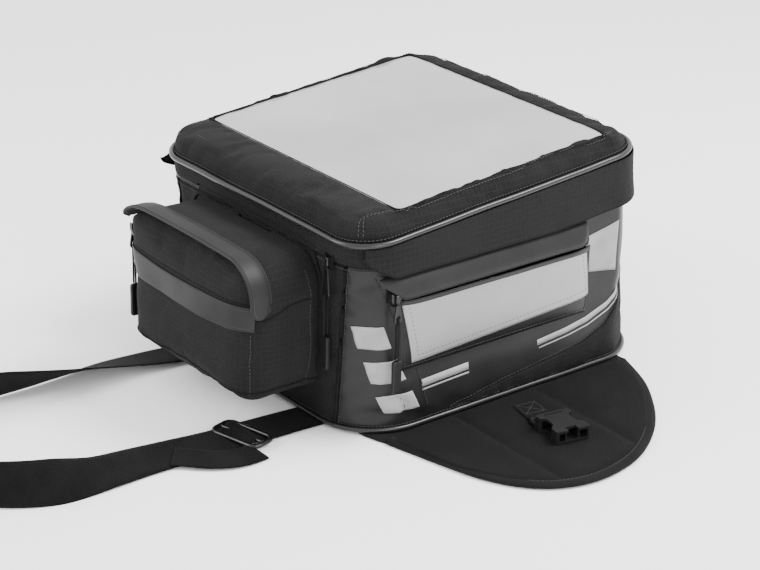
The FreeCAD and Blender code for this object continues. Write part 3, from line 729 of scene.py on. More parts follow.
def make_walls():
    """The four wall panels, sewn to each other, the base and the zip, and blown out a little."""
    rows = 31
    grid = wall_rows(rows)
    columns = grid.shape[1]
    points = grid.reshape(-1, 3)
    row, column = np.divmod(np.arange(len(points)), columns)
    held = (row == 0) | (row == rows - 1)
    for seam in SEAMS:
        held |= (column == seam % columns) & (row % 3 == 0)
    final = inflate(points, capped_faces(rows, columns), held, 3.0, 5.0, 0.02)
    tuck = np.zeros(len(points))
    for seam in SEAMS:
        away = np.abs((column - seam + columns // 2) % columns - columns // 2)
        tuck += 1.6 * np.exp(-(away / 0.9) ** 2)
    middle = np.array((0, 10, 90))
    outward = unit((final - middle) * (1, 1, 0))
    lively = wobble(points, 0.014, 1.6) + wobble(points, 0.035, 0.7, 4.0)
    edge = np.sin(np.pi * row / (rows - 1)) ** 0.5
    final = final + outward * (lively * edge - tuck * edge)[:, None]
    # the cloth stays behind the side pockets, and bulges below them and round the front pocket
    room = np.interp(final[:, 2], (20, 45, 58), (150.5, 150.0, 148.2))
    final[:, 0] = np.clip(final[:, 0], -room, room)
    front = np.where(np.abs(final[:, 0]) > 95, -157.2, -162.0)
    final[:, 1] = np.maximum(final[:, 1], front)
    grid = final.reshape(rows, columns, 3)
    panels = {
        "front_panel": (LEFT_SEAMS[1] - columns, RIGHT_SEAMS[0], "cloth"),
        "side_panel_right": (*RIGHT_SEAMS, "vinyl"),
        "rear_panel": (RIGHT_SEAMS[1], LEFT_SEAMS[0], "cloth"),
        "side_panel_left": (*LEFT_SEAMS, "vinyl"),
    }
    for node, (start, end, paint) in panels.items():
        span = np.arange(start, end + 1) % columns
        sheet(node + "_cloth", grid[:, span], paint, "bag", "body_cloth", node)
    for k, seam in enumerate(SEAMS):
        line = grid[:, seam % columns]
        normal = unit((line - middle) * (1, 1, 0))
        rod(f"seam_welt_{k}", line + normal * 0.5, 1.3, "binding", "bag", "binding")
        toward = grid[:, (seam + (1 if k % 2 == 0 else -1)) % columns]
        row_line = line * 0.35 + toward * 0.65 + normal * 0.3
        stitches(f"seam_stitch_{k}", row_line[1:-1], "bag", "body_cloth")
    return Surface(final, grid_faces(rows, columns, closed=True)), grid


WALL, WALL_GRID = make_walls()


def wall_spot(column, height):
    """A point of the wall by its column and its height above the floor."""
    columns = WALL_GRID.shape[1]
    low, share = int(math.floor(column)), column % 1
    line = (WALL_GRID[:, low % columns] * (1 - share) + WALL_GRID[:, (low + 1) % columns] * share)
    return np.array([np.interp(height, line[:, 2], line[:, k]) for k in range(2)] + [height])


def make_base():
    """The rubber underside, its piping with a sewn flange, and the piping's stitches."""
    levels = [(-3.0, 0.0), (-1.0, 0.35), (0, 1.6), (0, 3.5), (-2.5, 3.5)]
    rings = []
    for grow, height in levels:
        loop, _ = outline(BASE[0] + 2 * grow, BASE[1] + 2 * grow, BASE[2] + grow)
        rings.append(at_height(loop + BASE_SHIFT, height))
    grid = np.stack(rings)
    faces = capped_faces(*grid.shape[:2])
    new_piece("underside", grid.reshape(-1, 3), faces, "rubber", "bag", "base_rubber",
              "base_panel")
    loop, normals = outline(BASE[0] + 5, BASE[1] + 5, BASE[2] + 2.5)
    ring = at_height(loop + BASE_SHIFT, 5.0)
    ring[:, 2] += wobble(ring, 0.02, 0.5)
    ring[:, :2] += normals * wobble(ring, 0.02, 0.7, 3.0)[:, None]
    rod("base_welt", ring, 2.3, "piping", "bag", "piping", "base_piping", around=12, closed=True)
    inner = ring.copy()
    inner[:, :2] -= normals * 0.6
    inner[:, 2] += 3.2
    stitches("base_stitch", inner, "bag", "body_cloth", closed=True, pitch=3.4)


make_base()

# ---------------------------------------------------------------- lid

PANEL_TOP = 19.0
WINDOW = (275, 232, 6)
WINDOW_SHIFT = 8
RING = (304, 320, 37)


def lid_loop(size, height, shift=0.0, grow=0.0):
    """A rounded rectangle round the lid, in the bag's frame."""
    flat, _ = outline(size[0] + 2 * grow, size[1] + 2 * grow, size[2] + grow)
    return on_lid(flat[:, 0], flat[:, 1] + shift, height)


def local_normal(grow_from):
    """The lid's outward directions round its edge, in the bag's frame."""
    _, normals = outline(*grow_from)
    return np.column_stack([normals[:, 0], normals[:, 1] * math.cos(LID_TILT),
                            normals[:, 1] * math.sin(LID_TILT)])


LID_UP = np.array((0, -math.sin(LID_TILT), math.cos(LID_TILT)))


def make_lid_top():
    """The padded top: up from the piping, over a soft edge and in to the window."""
    profile = [(0.0, -1.5), (0.0, 2.5), (0.9, 7.0), (2.3, 11.5), (4.2, 15.0), (6.8, 17.6),
               (9.6, 19.2)]
    rings = [lid_loop(TOP, height, grow=-inset) for inset, height in profile]
    edge = rings[-1]
    window = lid_loop(WINDOW, PANEL_TOP - 1.2, WINDOW_SHIFT)
    strips = 9
    for k in range(1, strips + 1):
        share = k / strips
        crown = 1.9 * math.sin(math.pi * share) ** 0.7
        rings.append(edge * (1 - share) + window * share + LID_UP * crown)
    rings.append(window - LID_UP * 1.6)
    grid = np.stack(rings)
    rows, columns = grid.shape[:2]
    points = grid.reshape(-1, 3)
    row, column = np.divmod(np.arange(len(points)), columns)
    held = (row < 2) | (row >= rows - 2)
    final = inflate(points, capped_faces(rows, columns), held, 2.5, 2.2, 0.03)
    corners = [ALONG + BEND // 2, ALONG + BEND + SIDE + BEND // 2,
               3 * ALONG + 2 * BEND + SIDE + BEND // 2, 3 * ALONG + 3 * BEND + 2 * SIDE + BEND // 2]
    tuck = np.zeros(len(points))
    for corner in corners:
        tuck += 1.5 * np.exp(-((column - corner) / 0.8) ** 2) * ((row > 1) & (row < rows - 1))
    final = final - LID_UP * tuck[:, None]
    final += LID_UP * (wobble(points, 0.03, 0.8, 2.0) * ((row > 2) & (row < rows - 2)))[:, None]
    # it falls away behind the window and a little past its sides
    level = (points - on_lid(0, 0, 0)) @ LID_UP
    fall = 8 * np.clip((points[:, 1] - 121) / 30, 0, 1.15) ** 1.3
    fall = np.maximum(fall, 3 * np.clip((np.abs(points[:, 0]) - 139) / 12, 0, 1))
    final -= LID_UP * (fall * np.clip(level / 14, 0, 1))[:, None]
    grid = final.reshape(rows, columns, 3)
    top = sheet("lid_top", grid, "cloth", "lid", "body_cloth", "lid_panel", 2.4, closed=True)
    for k, corner in enumerate(corners):
        for side in (-1, 1):
            line = grid[2:-2, corner] * 0.45 + grid[2:-2, corner + side] * 0.55
            stitches(f"lid_corner_stitch_{k}_{side + 1}", line + LID_UP * 0.5, "lid", "body_cloth")
    welt = lid_loop(WINDOW, PANEL_TOP - 0.4, WINDOW_SHIFT, grow=0.6)
    rod("window_welt", welt, 0.6, "cloth", "lid", "body_cloth", closed=True, flatten=0.7)
    # a known fault, kept so that the shape stays: these are the welt's faces, where the lid's own
    # are meant, so some of the window's stitches stray from its edge
    surface = Surface(final, tube(welt, 0.6, closed=True, around=8)[1])
    seam = surface.lay(lid_loop(WINDOW, PANEL_TOP, WINDOW_SHIFT, grow=4.0), 0.4)
    stitches("window_stitch", seam, "lid", "body_cloth", closed=True, pitch=3.4)
    return surface


def make_window():
    """The clear sheet, which sags a little between its seams, and the board behind it."""
    wide, long_ = WINDOW[0] + 2, WINDOW[1] + 2
    across, along = 70, 58
    u, v = np.meshgrid(np.linspace(-1, 1, across), np.linspace(-1, 1, along))
    x, y = u * wide / 2, v * long_ / 2
    # corners rounded by drawing the grid in
    corner = np.clip((np.abs(u) - 0.86) / 0.14, 0, 1) * np.clip((np.abs(v) - 0.84) / 0.16, 0, 1)
    x, y = x * (1 - 0.022 * corner), y * (1 - 0.026 * corner)
    flat = np.stack([x.ravel(), y.ravel(), np.zeros(x.size)], 1)
    edge = (1 - u.ravel() ** 6) * (1 - v.ravel() ** 6)
    ripple = wobble(flat, 0.012, 1.5, 5.0) + wobble(flat * (1, 0.3, 1), 0.03, 0.8, 9.0)
    height = PANEL_TOP - 1.3 + edge * (ripple - 0.2)
    points = on_lid(flat[:, 0], flat[:, 1] + WINDOW_SHIFT, height)
    sheet("window_sheet", points.reshape(along, across, 3), "window", "lid", "window",
          "map_window", 0.7)
    finish_node("lid_board", "board", 0.3)


def make_lid_piping():
    loop, normals = outline(*RING)
    flat = at_height(loop, 0.0)
    loop = loop + normals * wobble(flat, 0.016, 1.0, 1.0)[:, None]
    ring = on_lid(loop[:, 0], loop[:, 1], wobble(flat, 0.018, 0.8, 7.0))
    rod("lid_welt", ring, 2.45, "piping", "lid", "piping", "lid_piping", around=14, closed=True)
    out = local_normal(RING)
    for name, height, inset in (("upper", 3.6, 2.4), ("lower", -3.4, 1.7)):
        line = ring + LID_UP * height - out * inset
        stitches(f"lid_{name}_stitch", line, "lid", "body_cloth", closed=True, pitch=3.4)


def make_lid_band():
    """The lid's upright edge, hidden by the skirt on three sides."""
    flat, _ = outline(*TOP)
    front = (np.abs(flat[:, 0]) < 88) & (flat[:, 1] < 0)
    rings = [lid_loop(TOP, height) for height in (-2.0, -5.0, -8.0, -11.0, -13.8)]
    low = lid_loop(TOP, -17.8)
    low[front] = lid_loop(TOP, -13.9)[front]
    rings.append(low)
    sheet("lid_band_cloth", np.stack(rings), "cloth", "lid", "body_cloth", "lid_band",
          closed=True)


def make_fold():
    """The cloth that the lid hinges on, sewn to the front wall below and the lid above."""
    flat, _ = outline(*TOP)
    keep = np.flatnonzero((np.abs(flat[:, 0]) < 87.5) & (flat[:, 1] < 0))
    keep = keep[np.argsort(flat[keep, 0])]
    x, y = flat[keep, 0], flat[keep, 1]
    rows = []
    for k in range(9):
        share = k / 8
        out = 0.9 * math.sin(math.pi * share)
        rows.append(on_lid(x, y - out, share * 8.6 - ZIP_DROP))
    grid = np.stack(rows)
    fold = sheet("front_fold", grid, "cloth", None, "body_cloth", "lid_fold", 1.6, levels=0)
    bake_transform(fold)


def skirt_rows(start, end, rows=12):
    """The skirt's grid between two columns of the lid's outline: it hangs and flares a little."""
    flat, normals = outline(306, 324, 38)
    flat = flat + (0, 1)
    span = np.arange(start, end + 1) % len(flat)
    grid = []
    place = np.linspace(0, 1, len(span))
    for k in range(rows):
        share = k / (rows - 1)
        top = on_lid(flat[span, 0], flat[span, 1], -2.6)
        floor = np.maximum(151.6, top[:, 2] - 42)
        # the ends are cut back to a point
        ends = np.clip(np.minimum(place, 1 - place) / 0.035, 0, 1) ** 0.7
        floor = top[:, 2] + (floor - top[:, 2]) * (0.35 + 0.65 * ends)
        drop = (top[:, 2] - floor) * share
        wave = wobble(top * (1, 1, 0), 0.02, 1.3, 6.0) * share
        flare = 0.2 + 3.2 * share ** 2 + wave
        tip = np.exp(-((1 - place) / 0.03) ** 2) * 6.0 * share ** 2
        point = top - (0, 0, 1) * drop[:, None]
        point[:, :2] += normals[span] * (flare + tip)[:, None]
        grid.append(point)
    return np.stack(grid)


def make_skirt():
    start = ALONG + int(BEND * 0.55)
    whole = 4 * ALONG + 4 * BEND + 2 * SIDE
    end = whole - ALONG - int(BEND * 0.55)
    grid = skirt_rows(start, end)
    sheet("skirt", grid, "cloth", "lid", "smooth_cloth", "lid_skirt", 1.3)
    rod("skirt_hem", grid[-1], 1.1, "binding", "lid", "binding")
    normal = np.zeros_like(grid[-1])
    normal[:, :2] = outline(306, 324, 38)[1][np.arange(start, end + 1) % whole]
    line = grid[-2] * 0.5 + grid[-1] * 0.5 + normal * 0.5
    stitches("skirt_stitch", line, "lid", "smooth_cloth", pitch=3.4)


def make_main_zip():
    """The lower half of the zip on the walls, and the upper half on the lid, with their teeth."""
    flat, _ = outline(*TOP)
    start = int(np.argmin(np.abs(flat[:, 0] - 88) + 1000 * (flat[:, 1] > 0)))
    span = np.arange(start, len(flat) - start + 1) % len(flat)
    way = local_normal(TOP)[span]

    def line(height, out):
        return on_lid(flat[span, 0], flat[span, 1], height) + way * out

    grid = np.stack([line(-22.0, 0.0), line(-20.6, 0.5), line(-19.3, 0.4)])
    sheet("zip_tape_lower", grid, "tape", "bag", "zip_tape", "main_zip_tape", 1.6, levels=0)

    def facing(share):
        return way[min(len(way) - 1, int(share * (len(way) - 1)))]

    teeth("zip_teeth_lower", line(-19.4, 0.2), facing, LID_UP * 0.55, "bag", "zip_tape")
    teeth("zip_teeth_upper", line(-17.6, 0.2), facing, LID_UP * 0.55, "lid", "zip_tape")
    stitches("zip_stitch", line(-24.5, 1.2), "bag", "body_cloth", pitch=3.4)


make_lid_top()
make_window()
make_lid_piping()
make_lid_band()
make_fold()
make_skirt()
make_main_zip()

# ---------------------------------------------------------------- front pocket

POCKET_LOW, POCKET_HIGH = node_box("pocket_body")
POCKET_EDGE, POCKET_CORNER = 12.0, 20.0
ARCH_CORNER = 28.0  # how round the pocket's top is, seen from the front
MOUTH, MOUTH_LOW = -218.0, 127.5  # the zip's plane, and how low it reaches at the ends


def pocket_loop(inset):
    """The pocket's outline from above: from the wall at -X round the front to the wall at +X."""
    half, front, back = POCKET_HIGH[0] - inset, POCKET_LOW[1] + inset, POCKET_HIGH[1]
    corner = max(POCKET_CORNER - inset, 1.2)
    side = [(-half, y) for y in np.linspace(back, front + corner, 15)[:-1]]
    turn = [(-half + corner - corner * math.cos(a), front + corner - corner * math.sin(a))
            for a in np.linspace(0, math.pi / 2, 9)]
    middle = [(x, front) for x in np.linspace(-half + corner, 0, 22)[1:]]
    left = side + turn + middle
    return np.array(left + [(-x, y) for x, y in left[-2::-1]])


def pocket_profile():
    """Heights and insets up the pocket: in under its floor, up its side and in over its top."""
    low, high = POCKET_LOW[2], POCKET_HIGH[2]
    inner = list(np.linspace(POCKET_HIGH[1] - POCKET_LOW[1] - 2, POCKET_EDGE, 9))
    turn = np.linspace(0, math.pi / 2, 7)[1:-1]
    rise = list(np.linspace(low + POCKET_EDGE, high - POCKET_EDGE, 24))
    bottom = [(low, t) for t in inner]
    bottom += [(low + POCKET_EDGE * (1 - math.cos(a)), POCKET_EDGE * (1 - math.sin(a)))
               for a in turn]
    top = [(high - z + low, t) for z, t in bottom[::-1]]
    return bottom + [(z, 0.0) for z in rise] + top


def cut_in_two(points, faces, belongs, planes):
    """Cuts a mesh along planes, each (point, normal), and sorts its faces into two."""
    mesh = bmesh.new()
    verts = [mesh.verts.new(p) for p in points]
    for face in faces:
        mesh.faces.new([verts[i] for i in face])
    for spot, normal in planes:
        whole = mesh.verts[:] + mesh.edges[:] + mesh.faces[:]
        bmesh.ops.bisect_plane(mesh, geom=whole, plane_co=spot, plane_no=normal, dist=1e-4)
    mesh.verts.index_update()
    everything = np.array([tuple(v.co) for v in mesh.verts])
    sorted_faces = ([], [])
    for face in mesh.faces:
        sorted_faces[int(belongs(face.calc_center_median()))].append([v.index for v in face.verts])
    mesh.free()
    out = []
    for chosen in sorted_faces:
        used = sorted({i for f in chosen for i in f})
        place = {old: new for new, old in enumerate(used)}
        out.append((everything[used], [tuple(place[i] for i in f) for f in chosen]))
    return out


def make_pocket():
    grid = np.stack([at_height(pocket_loop(t), z) for z, t in pocket_profile()])
    count, columns = grid.shape[:2]
    points = grid.reshape(-1, 3)
    faces = grid_faces(count, columns)
    back = [j * columns for j in range(count)] + [j * columns + columns - 1
                                                  for j in range(count)][::-1]
    row, column = np.divmod(np.arange(len(points)), columns)
    held = (column == 0) | (column == columns - 1) | (row == 0) | (row == count - 1)
    final = inflate(points, faces + [tuple(back)], held, 3.0, 4.0, 0.03)
    middle = (POCKET_LOW + POCKET_HIGH) / 2
    across = np.cos(np.pi * np.clip(final[:, 0] / (2 * POCKET_HIGH[0]), -0.5, 0.5))
    upward = (final[:, 2] - POCKET_LOW[2]) / (POCKET_HIGH[2] - POCKET_LOW[2])
    frontness = np.clip((POCKET_LOW[1] + 30 - final[:, 1]) / 25, 0, 1)
    final[:, 1] -= 3.5 * across * frontness * np.sin(np.pi * np.clip(upward, 0, 1)) ** 0.5
    final[:, 2] += 2.5 * across * np.clip((upward - 0.8) / 0.2, 0, 1)
    # its top is an arch
    past = np.abs(final[:, 0]) - (POCKET_HIGH[0] - ARCH_CORNER)
    above = final[:, 2] - (POCKET_HIGH[2] - ARCH_CORNER)
    in_corner = (past > 0) & (above > 0)
    trim = np.where(in_corner, np.minimum(1, ARCH_CORNER / (np.hypot(past, above) + 1e-6)), 1)
    final[:, 0] -= np.sign(final[:, 0]) * past * (1 - trim)
    final[:, 2] -= above * (1 - trim)
    # it narrows towards its floor, which sags between its corners
    free = np.clip((POCKET_HIGH[1] - final[:, 1]) / 40, 0, 1)
    final[:, 0] *= 1 + (0.02 - 0.072 * np.clip(1 - upward, 0, 1) ** 2) * free
    final[:, 2] -= (4.5 * np.clip(1 - (final[:, 0] / 76) ** 2, 0, 1)
                    * np.clip((0.22 - upward) / 0.22, 0, 1) * free)
    # next to the wall its top stays low, clear of the opened lid
    ceiling = POCKET_HIGH[2] - 0.6 + 6 * np.clip((-176 - final[:, 1]) / 20, 0, 1)
    final[:, 2] = np.minimum(final[:, 2], ceiling)
    out = unit(final - middle)
    still = np.clip((POCKET_HIGH[1] - final[:, 1]) / 15, 0, 1)
    lively = wobble(points, 0.02, 1.5, 8.0) + wobble(points, 0.05, 0.6, 3.0)
    final += out * (lively * still)[:, None]
    body, flap = cut_in_two(
        final, faces, lambda c: c.y < MOUTH and c.z > MOUTH_LOW,
        [((0, 0, MOUTH_LOW), (0, 0, 1)), ((0, MOUTH, 0), (0, 1, 0))])
    shell = new_piece("pocket_shell", *body, "cloth", "bag", "body_cloth", "pocket_body")
    front = new_piece("pocket_front_flap", *flap, "cloth", None, "body_cloth", "pocket_flap")
    for piece in (shell, front):
        finish_cloth(piece, 2.0, levels=1)
    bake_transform(front)
    return Surface(final, faces)


def smoothed(grid, times=2):
    """A grid with its small bumps evened out. Its border stays."""
    grid = grid.copy()
    for _ in range(times):
        inner = (grid[:-2, 1:-1] + grid[2:, 1:-1] + grid[1:-1, :-2] + grid[1:-1, 2:]) / 4
        grid[1:-1, 1:-1] = grid[1:-1, 1:-1] * 0.4 + inner * 0.6
    return grid


def arch(low_left, low_right, count=70, edge=ARCH_CORNER):
    """Points over the pocket from one end to the other, and the way out from each: x, z, nx, nz."""
    half, top = POCKET_HIGH[0], POCKET_HIGH[2]
    turn = np.linspace(0, math.pi / 2, 14)
    left = [(-half, z, -1, 0) for z in np.linspace(min(low_left, top - edge), top - edge, 8)[:-1]]
    left += [(-half + edge * (1 - math.cos(a)), top - edge * (1 - math.sin(a)), -math.cos(a),
              math.sin(a)) for a in turn]
    middle = [(x, top, 0, 1) for x in np.linspace(edge - half, half - edge, count)[1:-1]]
    right = [(half - edge * (1 - math.cos(a)), top - edge * (1 - math.sin(a)), math.cos(a),
              math.sin(a)) for a in turn[::-1]]
    right += [(half, z, 1, 0) for z in np.linspace(top - edge, low_right, 12)[1:]]
    return np.array(left + middle + right, float)


def make_storm_flap():
    """The smooth arched flap over the pocket's zip."""
    path = arch(129, 117)
    path = path[(path[:, 0] > 0) | (path[:, 1] > 137)]  # clear of the raised pull
    half = POCKET_HIGH[0]
    crown = np.cos(np.clip(path[:, 0] / half, -1, 1) * math.pi / 2) ** 0.7
    splay = 7.5 * np.clip((-72 - path[:, 0]) / 20, 0, 1)
    # y, then the lift at the ends and in the middle
    spans = [(-205.5, 1.4, 3.0), (-208.5, 3.4, 7.0), (-213, 4.4, 8.6), (-218, 4.6, 8.6),
             (-222.5, 4.6, 8.0), (-226, 4.6, 7.4), (-229, 4.8, 7.4)]
    out = np.column_stack([path[:, 2], np.zeros(len(path)), path[:, 3]])
    rows = [at_depth(path, y) + out * (low + (high - low) * crown + splay)[:, None]
            for y, low, high in spans]
    # the two ends are drawn in to round tongues
    steps = travelled(path[:, :2])
    from_end = np.minimum(steps, steps[-1] - steps)
    narrow = np.sqrt(np.clip(1 - (1 - np.clip(from_end / 11, 0, 1)) ** 2, 0, 1))
    centre = rows[3]
    grid = smoothed(np.stack([centre + (row - centre) * (0.12 + 0.88 * narrow)[:, None]
                              for row in rows]), 2)
    count = len(grid)
    sheet("storm_flap", grid, "smooth", "pocket_storm_flap", "smooth_cloth", "pocket_storm_flap",
          1.5, offset=0.0)
    for name, row in (("front", count - 2), ("rear", 1)):
        line = grid[row] * 0.8 + grid[row + (1 if name == "front" else -1)] * 0.2
        stitches(f"storm_stitch_{name}", (line + out * 0.9)[2:-2], "pocket_storm_flap",
                 "smooth_cloth", pitch=3.2, thick=0.35)
    rim = np.vstack([grid[-1], grid[::-1][1:, -1]])
    rod("storm_rim", rim, 0.9, "smooth", "pocket_storm_flap", "smooth_cloth")


def make_pocket_trim():
    """The smooth band across the front, the seams and the zip."""
    loop = pocket_loop(0.0)
    keep = loop[loop[:, 1] < -218]
    rows = []
    for share in np.linspace(0, 1, 8):
        height = 103 + 23 * share - 2.5 * np.cos(np.pi * keep[:, 0] / 190)
        rows.append(POCKET.lay(np.column_stack([keep, height]), 0.8))
    grid = smoothed(np.stack(rows), 1)
    sheet("front_band", grid, "smooth", "bag", "smooth_cloth", "pocket_band", 1.0, offset=0.6)
    for row in (1, 6):
        line = grid[row].copy()
        line[:, :2] += (line[:, :2] - (0, -190)) * 0.008
        stitches(f"band_stitch_{row}", line[1:-1], "bag", "smooth_cloth", pitch=3.2, thick=0.35)
    path = arch(MOUTH_LOW + 1, MOUTH_LOW + 1, 90)
    grid = np.stack([POCKET.lay(at_depth(path, MOUTH + shift), lift) for shift, lift in
                     ((-3.2, 0.35), (-1.2, 0.8), (1.2, 0.8), (3.2, 0.35))])
    sheet("pocket_tape", grid, "tape", "bag", "zip_tape", "pocket_zip", 0.6, levels=0, offset=0.0)

    def facing(share):
        k = min(len(path) - 1, int(share * (len(path) - 1)))
        return np.array((path[k, 2], 0.0, path[k, 3]))

    teeth("pocket_teeth", (grid[1] + grid[2]) / 2, facing, (0, 0.8, 0), "bag", "zip_tape")
    # seams: round the mouth of each end, and where the front joins the sides
    ring = POCKET.lay(at_height(loop, POCKET_LOW[2] + 9.0), 0.3)
    rod("pocket_welt_low", ring, 0.8, "binding", "bag", "binding")
    for g in (-1, 1):
        side = [(g * POCKET_HIGH[0], y, z) for y, z in
                [(-229, 116), (-222, 113), (-213, 113.5), (-203, 117), (-192, 121.5), (-180, 122.5),
                 (-166, 122.5)]]
        line = POCKET.lay(resample(side, 2.5), 0.2)
        rod(f"gusset_seam_{g + 1}", line, 0.75, "binding", "bag", "binding", around=7)
        upright = [(g * POCKET_HIGH[0], -168, z) for z in np.linspace(44, 150, 40)]
        line = POCKET.lay(upright, 0.3)
        stitches(f"gusset_stitch_{g + 1}", line, "bag", "body_cloth", pitch=3.4)
        front = [(g * 88.5, -224.5, z) for z in np.linspace(42, 99, 24)]
        stitches(f"front_stitch_{g + 1}", POCKET.lay(front, 0.4), "bag", "body_cloth", pitch=3.4)
    # the pocket's back edge is sewn to the front panel with a raised seam
    low, high = POCKET_LOW[2], POCKET_HIGH[2]
    frame_path = [(-POCKET_HIGH[0] - 2, low + 14), (-POCKET_HIGH[0] - 2, high - 14)]
    frame_path += [(-POCKET_HIGH[0] + 10 - 12 * math.cos(a), high - 12 + 14 * math.sin(a))
                   for a in np.linspace(0.1, math.pi / 2, 7)]
    right = [(-x, z) for x, z in frame_path[::-1]]
    across = resample(np.array(frame_path + right), 4.0)
    rod("pocket_joint_seam", WALL.lay(at_depth(across, -165.0), 0.3), 1.3, "binding", "bag", "binding")


POCKET = make_pocket()
make_storm_flap()
make_pocket_trim()

# ---------------------------------------------------------------- the two sides


SIDES = {"right": 1, "left": -1}
POUCH_LOW, POUCH_HIGH = node_box("side_pocket_right")
HOOD_LOW, HOOD_HIGH = node_box("hood_right")


def pouch_face(y, z):
    """How far out the side pocket's face is, at points along and up it."""
    u = (2 * y - POUCH_LOW[1] - POUCH_HIGH[1]) / (POUCH_HIGH[1] - POUCH_LOW[1])
    v = np.clip((z - POUCH_LOW[2]) / (POUCH_HIGH[2] - POUCH_LOW[2]), 0, 1)
    lift = (1 - np.abs(u) ** 12) * (1 - (1 - v) ** 7)
    flat = np.stack([np.zeros_like(y), y, z], -1).reshape(-1, 3)
    soft = wobble(flat, 0.018, 0.55, 11.0).reshape(np.shape(y))
    return POUCH_LOW[0] + 0.3 + (POUCH_HIGH[0] - POUCH_LOW[0] - 1.3 + soft) * lift


def on_pouch(flat, lift=0.0):
    """Points lifted off the side pocket's face, from their y and z."""
    return np.concatenate([(pouch_face(flat[..., 0], flat[..., 1]) + lift)[..., None], flat], -1)


def patch(corners, across, along):
    """A grid over four corners: bottom front, bottom rear, top front, top rear, as y and z."""
    a, b, c, d = (np.array(p, float) for p in corners)
    u, v = np.meshgrid(np.linspace(0, 1, across), np.linspace(0, 1, along))
    u, v = u[..., None], v[..., None]
    return (a * (1 - u) + b * u) * (1 - v) + (c * (1 - u) + d * u) * v


def make_pouch(side, way):
    corners = [(POUCH_LOW[1], POUCH_LOW[2]), (POUCH_HIGH[1], POUCH_LOW[2]),
               (POUCH_LOW[1], POUCH_HIGH[2] - 1.4), (POUCH_HIGH[1], POUCH_HIGH[2] - 1.4)]
    sheet(f"side_pouch_{side}", on_pouch(patch(corners, 90, 32)), "vinyl", "bag", "smooth_cloth",
          f"side_pocket_{side}", 1.1, levels=0, way=way)
    corners = [(-102, 66), (101, 77), (-114, 125), (92, 124.5)]
    sheet(f"reflector_{side}", on_pouch(patch(corners, 80, 24), 0.45), "reflective", "bag",
          "reflective", thick=0.5, levels=0, offset=0.0, way=way)
    inner = [(-107, 118.5), (-96.5, 72.5), (95, 83), (87.5, 118)]
    line = on_pouch(resample(inner, 2.0), 0.65) * (way, 1, 1)
    stitches(f"reflector_stitch_{side}", line, "bag", "reflective", pitch=4.2, length=1.6,
             thick=0.32)
    outer = [(POUCH_LOW[1] + 3, 122), (POUCH_LOW[1] + 6, POUCH_LOW[2] + 3.5),
             (POUCH_HIGH[1] - 3, POUCH_LOW[2] + 3.5), (POUCH_HIGH[1] - 3, 122)]
    line = on_pouch(resample(outer, 2.0), 0.15) * (way, 1, 1)
    stitches(f"pouch_stitch_{side}", line, "bag", "smooth_cloth", thick=0.36)
    trim = patch([(POUCH_LOW[1] + 1, 121.5), (POUCH_HIGH[1] - 2, 120.5),
                  (POUCH_LOW[1] + 1, 124.9), (POUCH_HIGH[1] - 2, 124.6)], 70, 4)
    x = pouch_face(trim[..., 0], np.minimum(trim[..., 1], 122)) + 0.8
    sheet(f"pouch_trim_{side}", np.dstack([x, trim]), "trim", "bag", "smooth_cloth", thick=1.0,
          levels=0, offset=0.0, way=way)


def make_hood(side, way):
    profile = [(149.5, 149.6), (151.5, 148.6), (153.6, 146.6), (155.6, 143.6), (157.4, 139.8),
               (158.9, 135.6), (159.8, 131.2)]
    y = np.linspace(HOOD_LOW[1], HOOD_HIGH[1], 76)
    rear = np.clip((y - (HOOD_HIGH[1] - 14)) / 14, 0, 1)
    front = np.clip((y - HOOD_LOW[1]) / 21, 0, 1)
    reach = np.sqrt(np.clip(1 - rear ** 2, 0, 1)) * (0.06 + 0.94 * front ** 1.1)
    flat = np.column_stack([np.zeros(len(y)), y, np.zeros(len(y))])
    wave = wobble(flat, 0.025, 0.7, 2.5)
    rows = []
    for k, (x, z) in enumerate(profile):
        share = k / (len(profile) - 1)
        top = profile[0]
        shrink = 0.12 + 0.88 * reach
        rows.append(np.column_stack([top[0] + (x - top[0]) * shrink + wave * share, y,
                                     top[1] + (z - top[1]) * shrink]))
    grid = np.stack(rows)
    body = f"hood_{side}"
    sheet(f"rain_hood_{side}", grid, "vinyl", body, "smooth_cloth", body, 1.2, way=way)
    rod(f"hood_hem_{side}", grid[-1] * (way, 1, 1), 0.85, "vinyl", body, "smooth_cloth")
    for name, row, lift in (("low", -2, 0.5), ("high", 1, 0.3)):
        line = grid[row] + (lift, 0, lift)
        stitches(f"hood_stitch_{name}_{side}", line * (way, 1, 1), body, "smooth_cloth",
                 thick=0.36)


def make_side_zip(side, way):
    low, high = node_box(f"side_zip_{side}")
    middle = (low[2] + high[2]) / 2
    grid = patch([(low[1], low[2]), (high[1], low[2]), (low[1], high[2]), (high[1], high[2])],
                 60, 6)
    u = (grid[..., 1] - middle) / (high[2] - low[2]) * 2
    x = 150.2 + 1.3 * (1 - u ** 2)
    sheet(f"side_tape_{side}", np.dstack([x, grid]), "tape", "bag", "zip_tape",
          f"side_zip_{side}", 0.8, levels=0, way=way)
    line = np.array([(way * 151.3, y, middle) for y in np.linspace(low[1] + 6, high[1] - 3, 80)])
    teeth(f"side_teeth_{side}", line, (way, 0, 0), (0, 0, 0.8), "bag", "zip_tape")


def column_at(y):
    """The right wall's column at a distance along its straight side."""
    first = ALONG + BEND
    straight = WALL_GRID[8, first:first + SIDE + 1, 1]
    return first + float(np.interp(y, straight, np.arange(SIDE + 1)))


COLUMN_SIZE = (5, 1)  # a wall column is about 5 mm wide


def wall_path(spots, spacing):
    """Evenly spaced (column, height) pairs along a line over the wall."""
    return resample(np.array(spots, float) * COLUMN_SIZE, spacing) / COLUMN_SIZE


def wall_line(way, spots, lift):
    """Points on the finished wall from (column, height) pairs, lifted off it."""
    nominal = [wall_spot(column if way > 0 else WALL_GRID.shape[1] - column, height)
               for column, height in spots]
    return WALL.lay(nominal, lift)


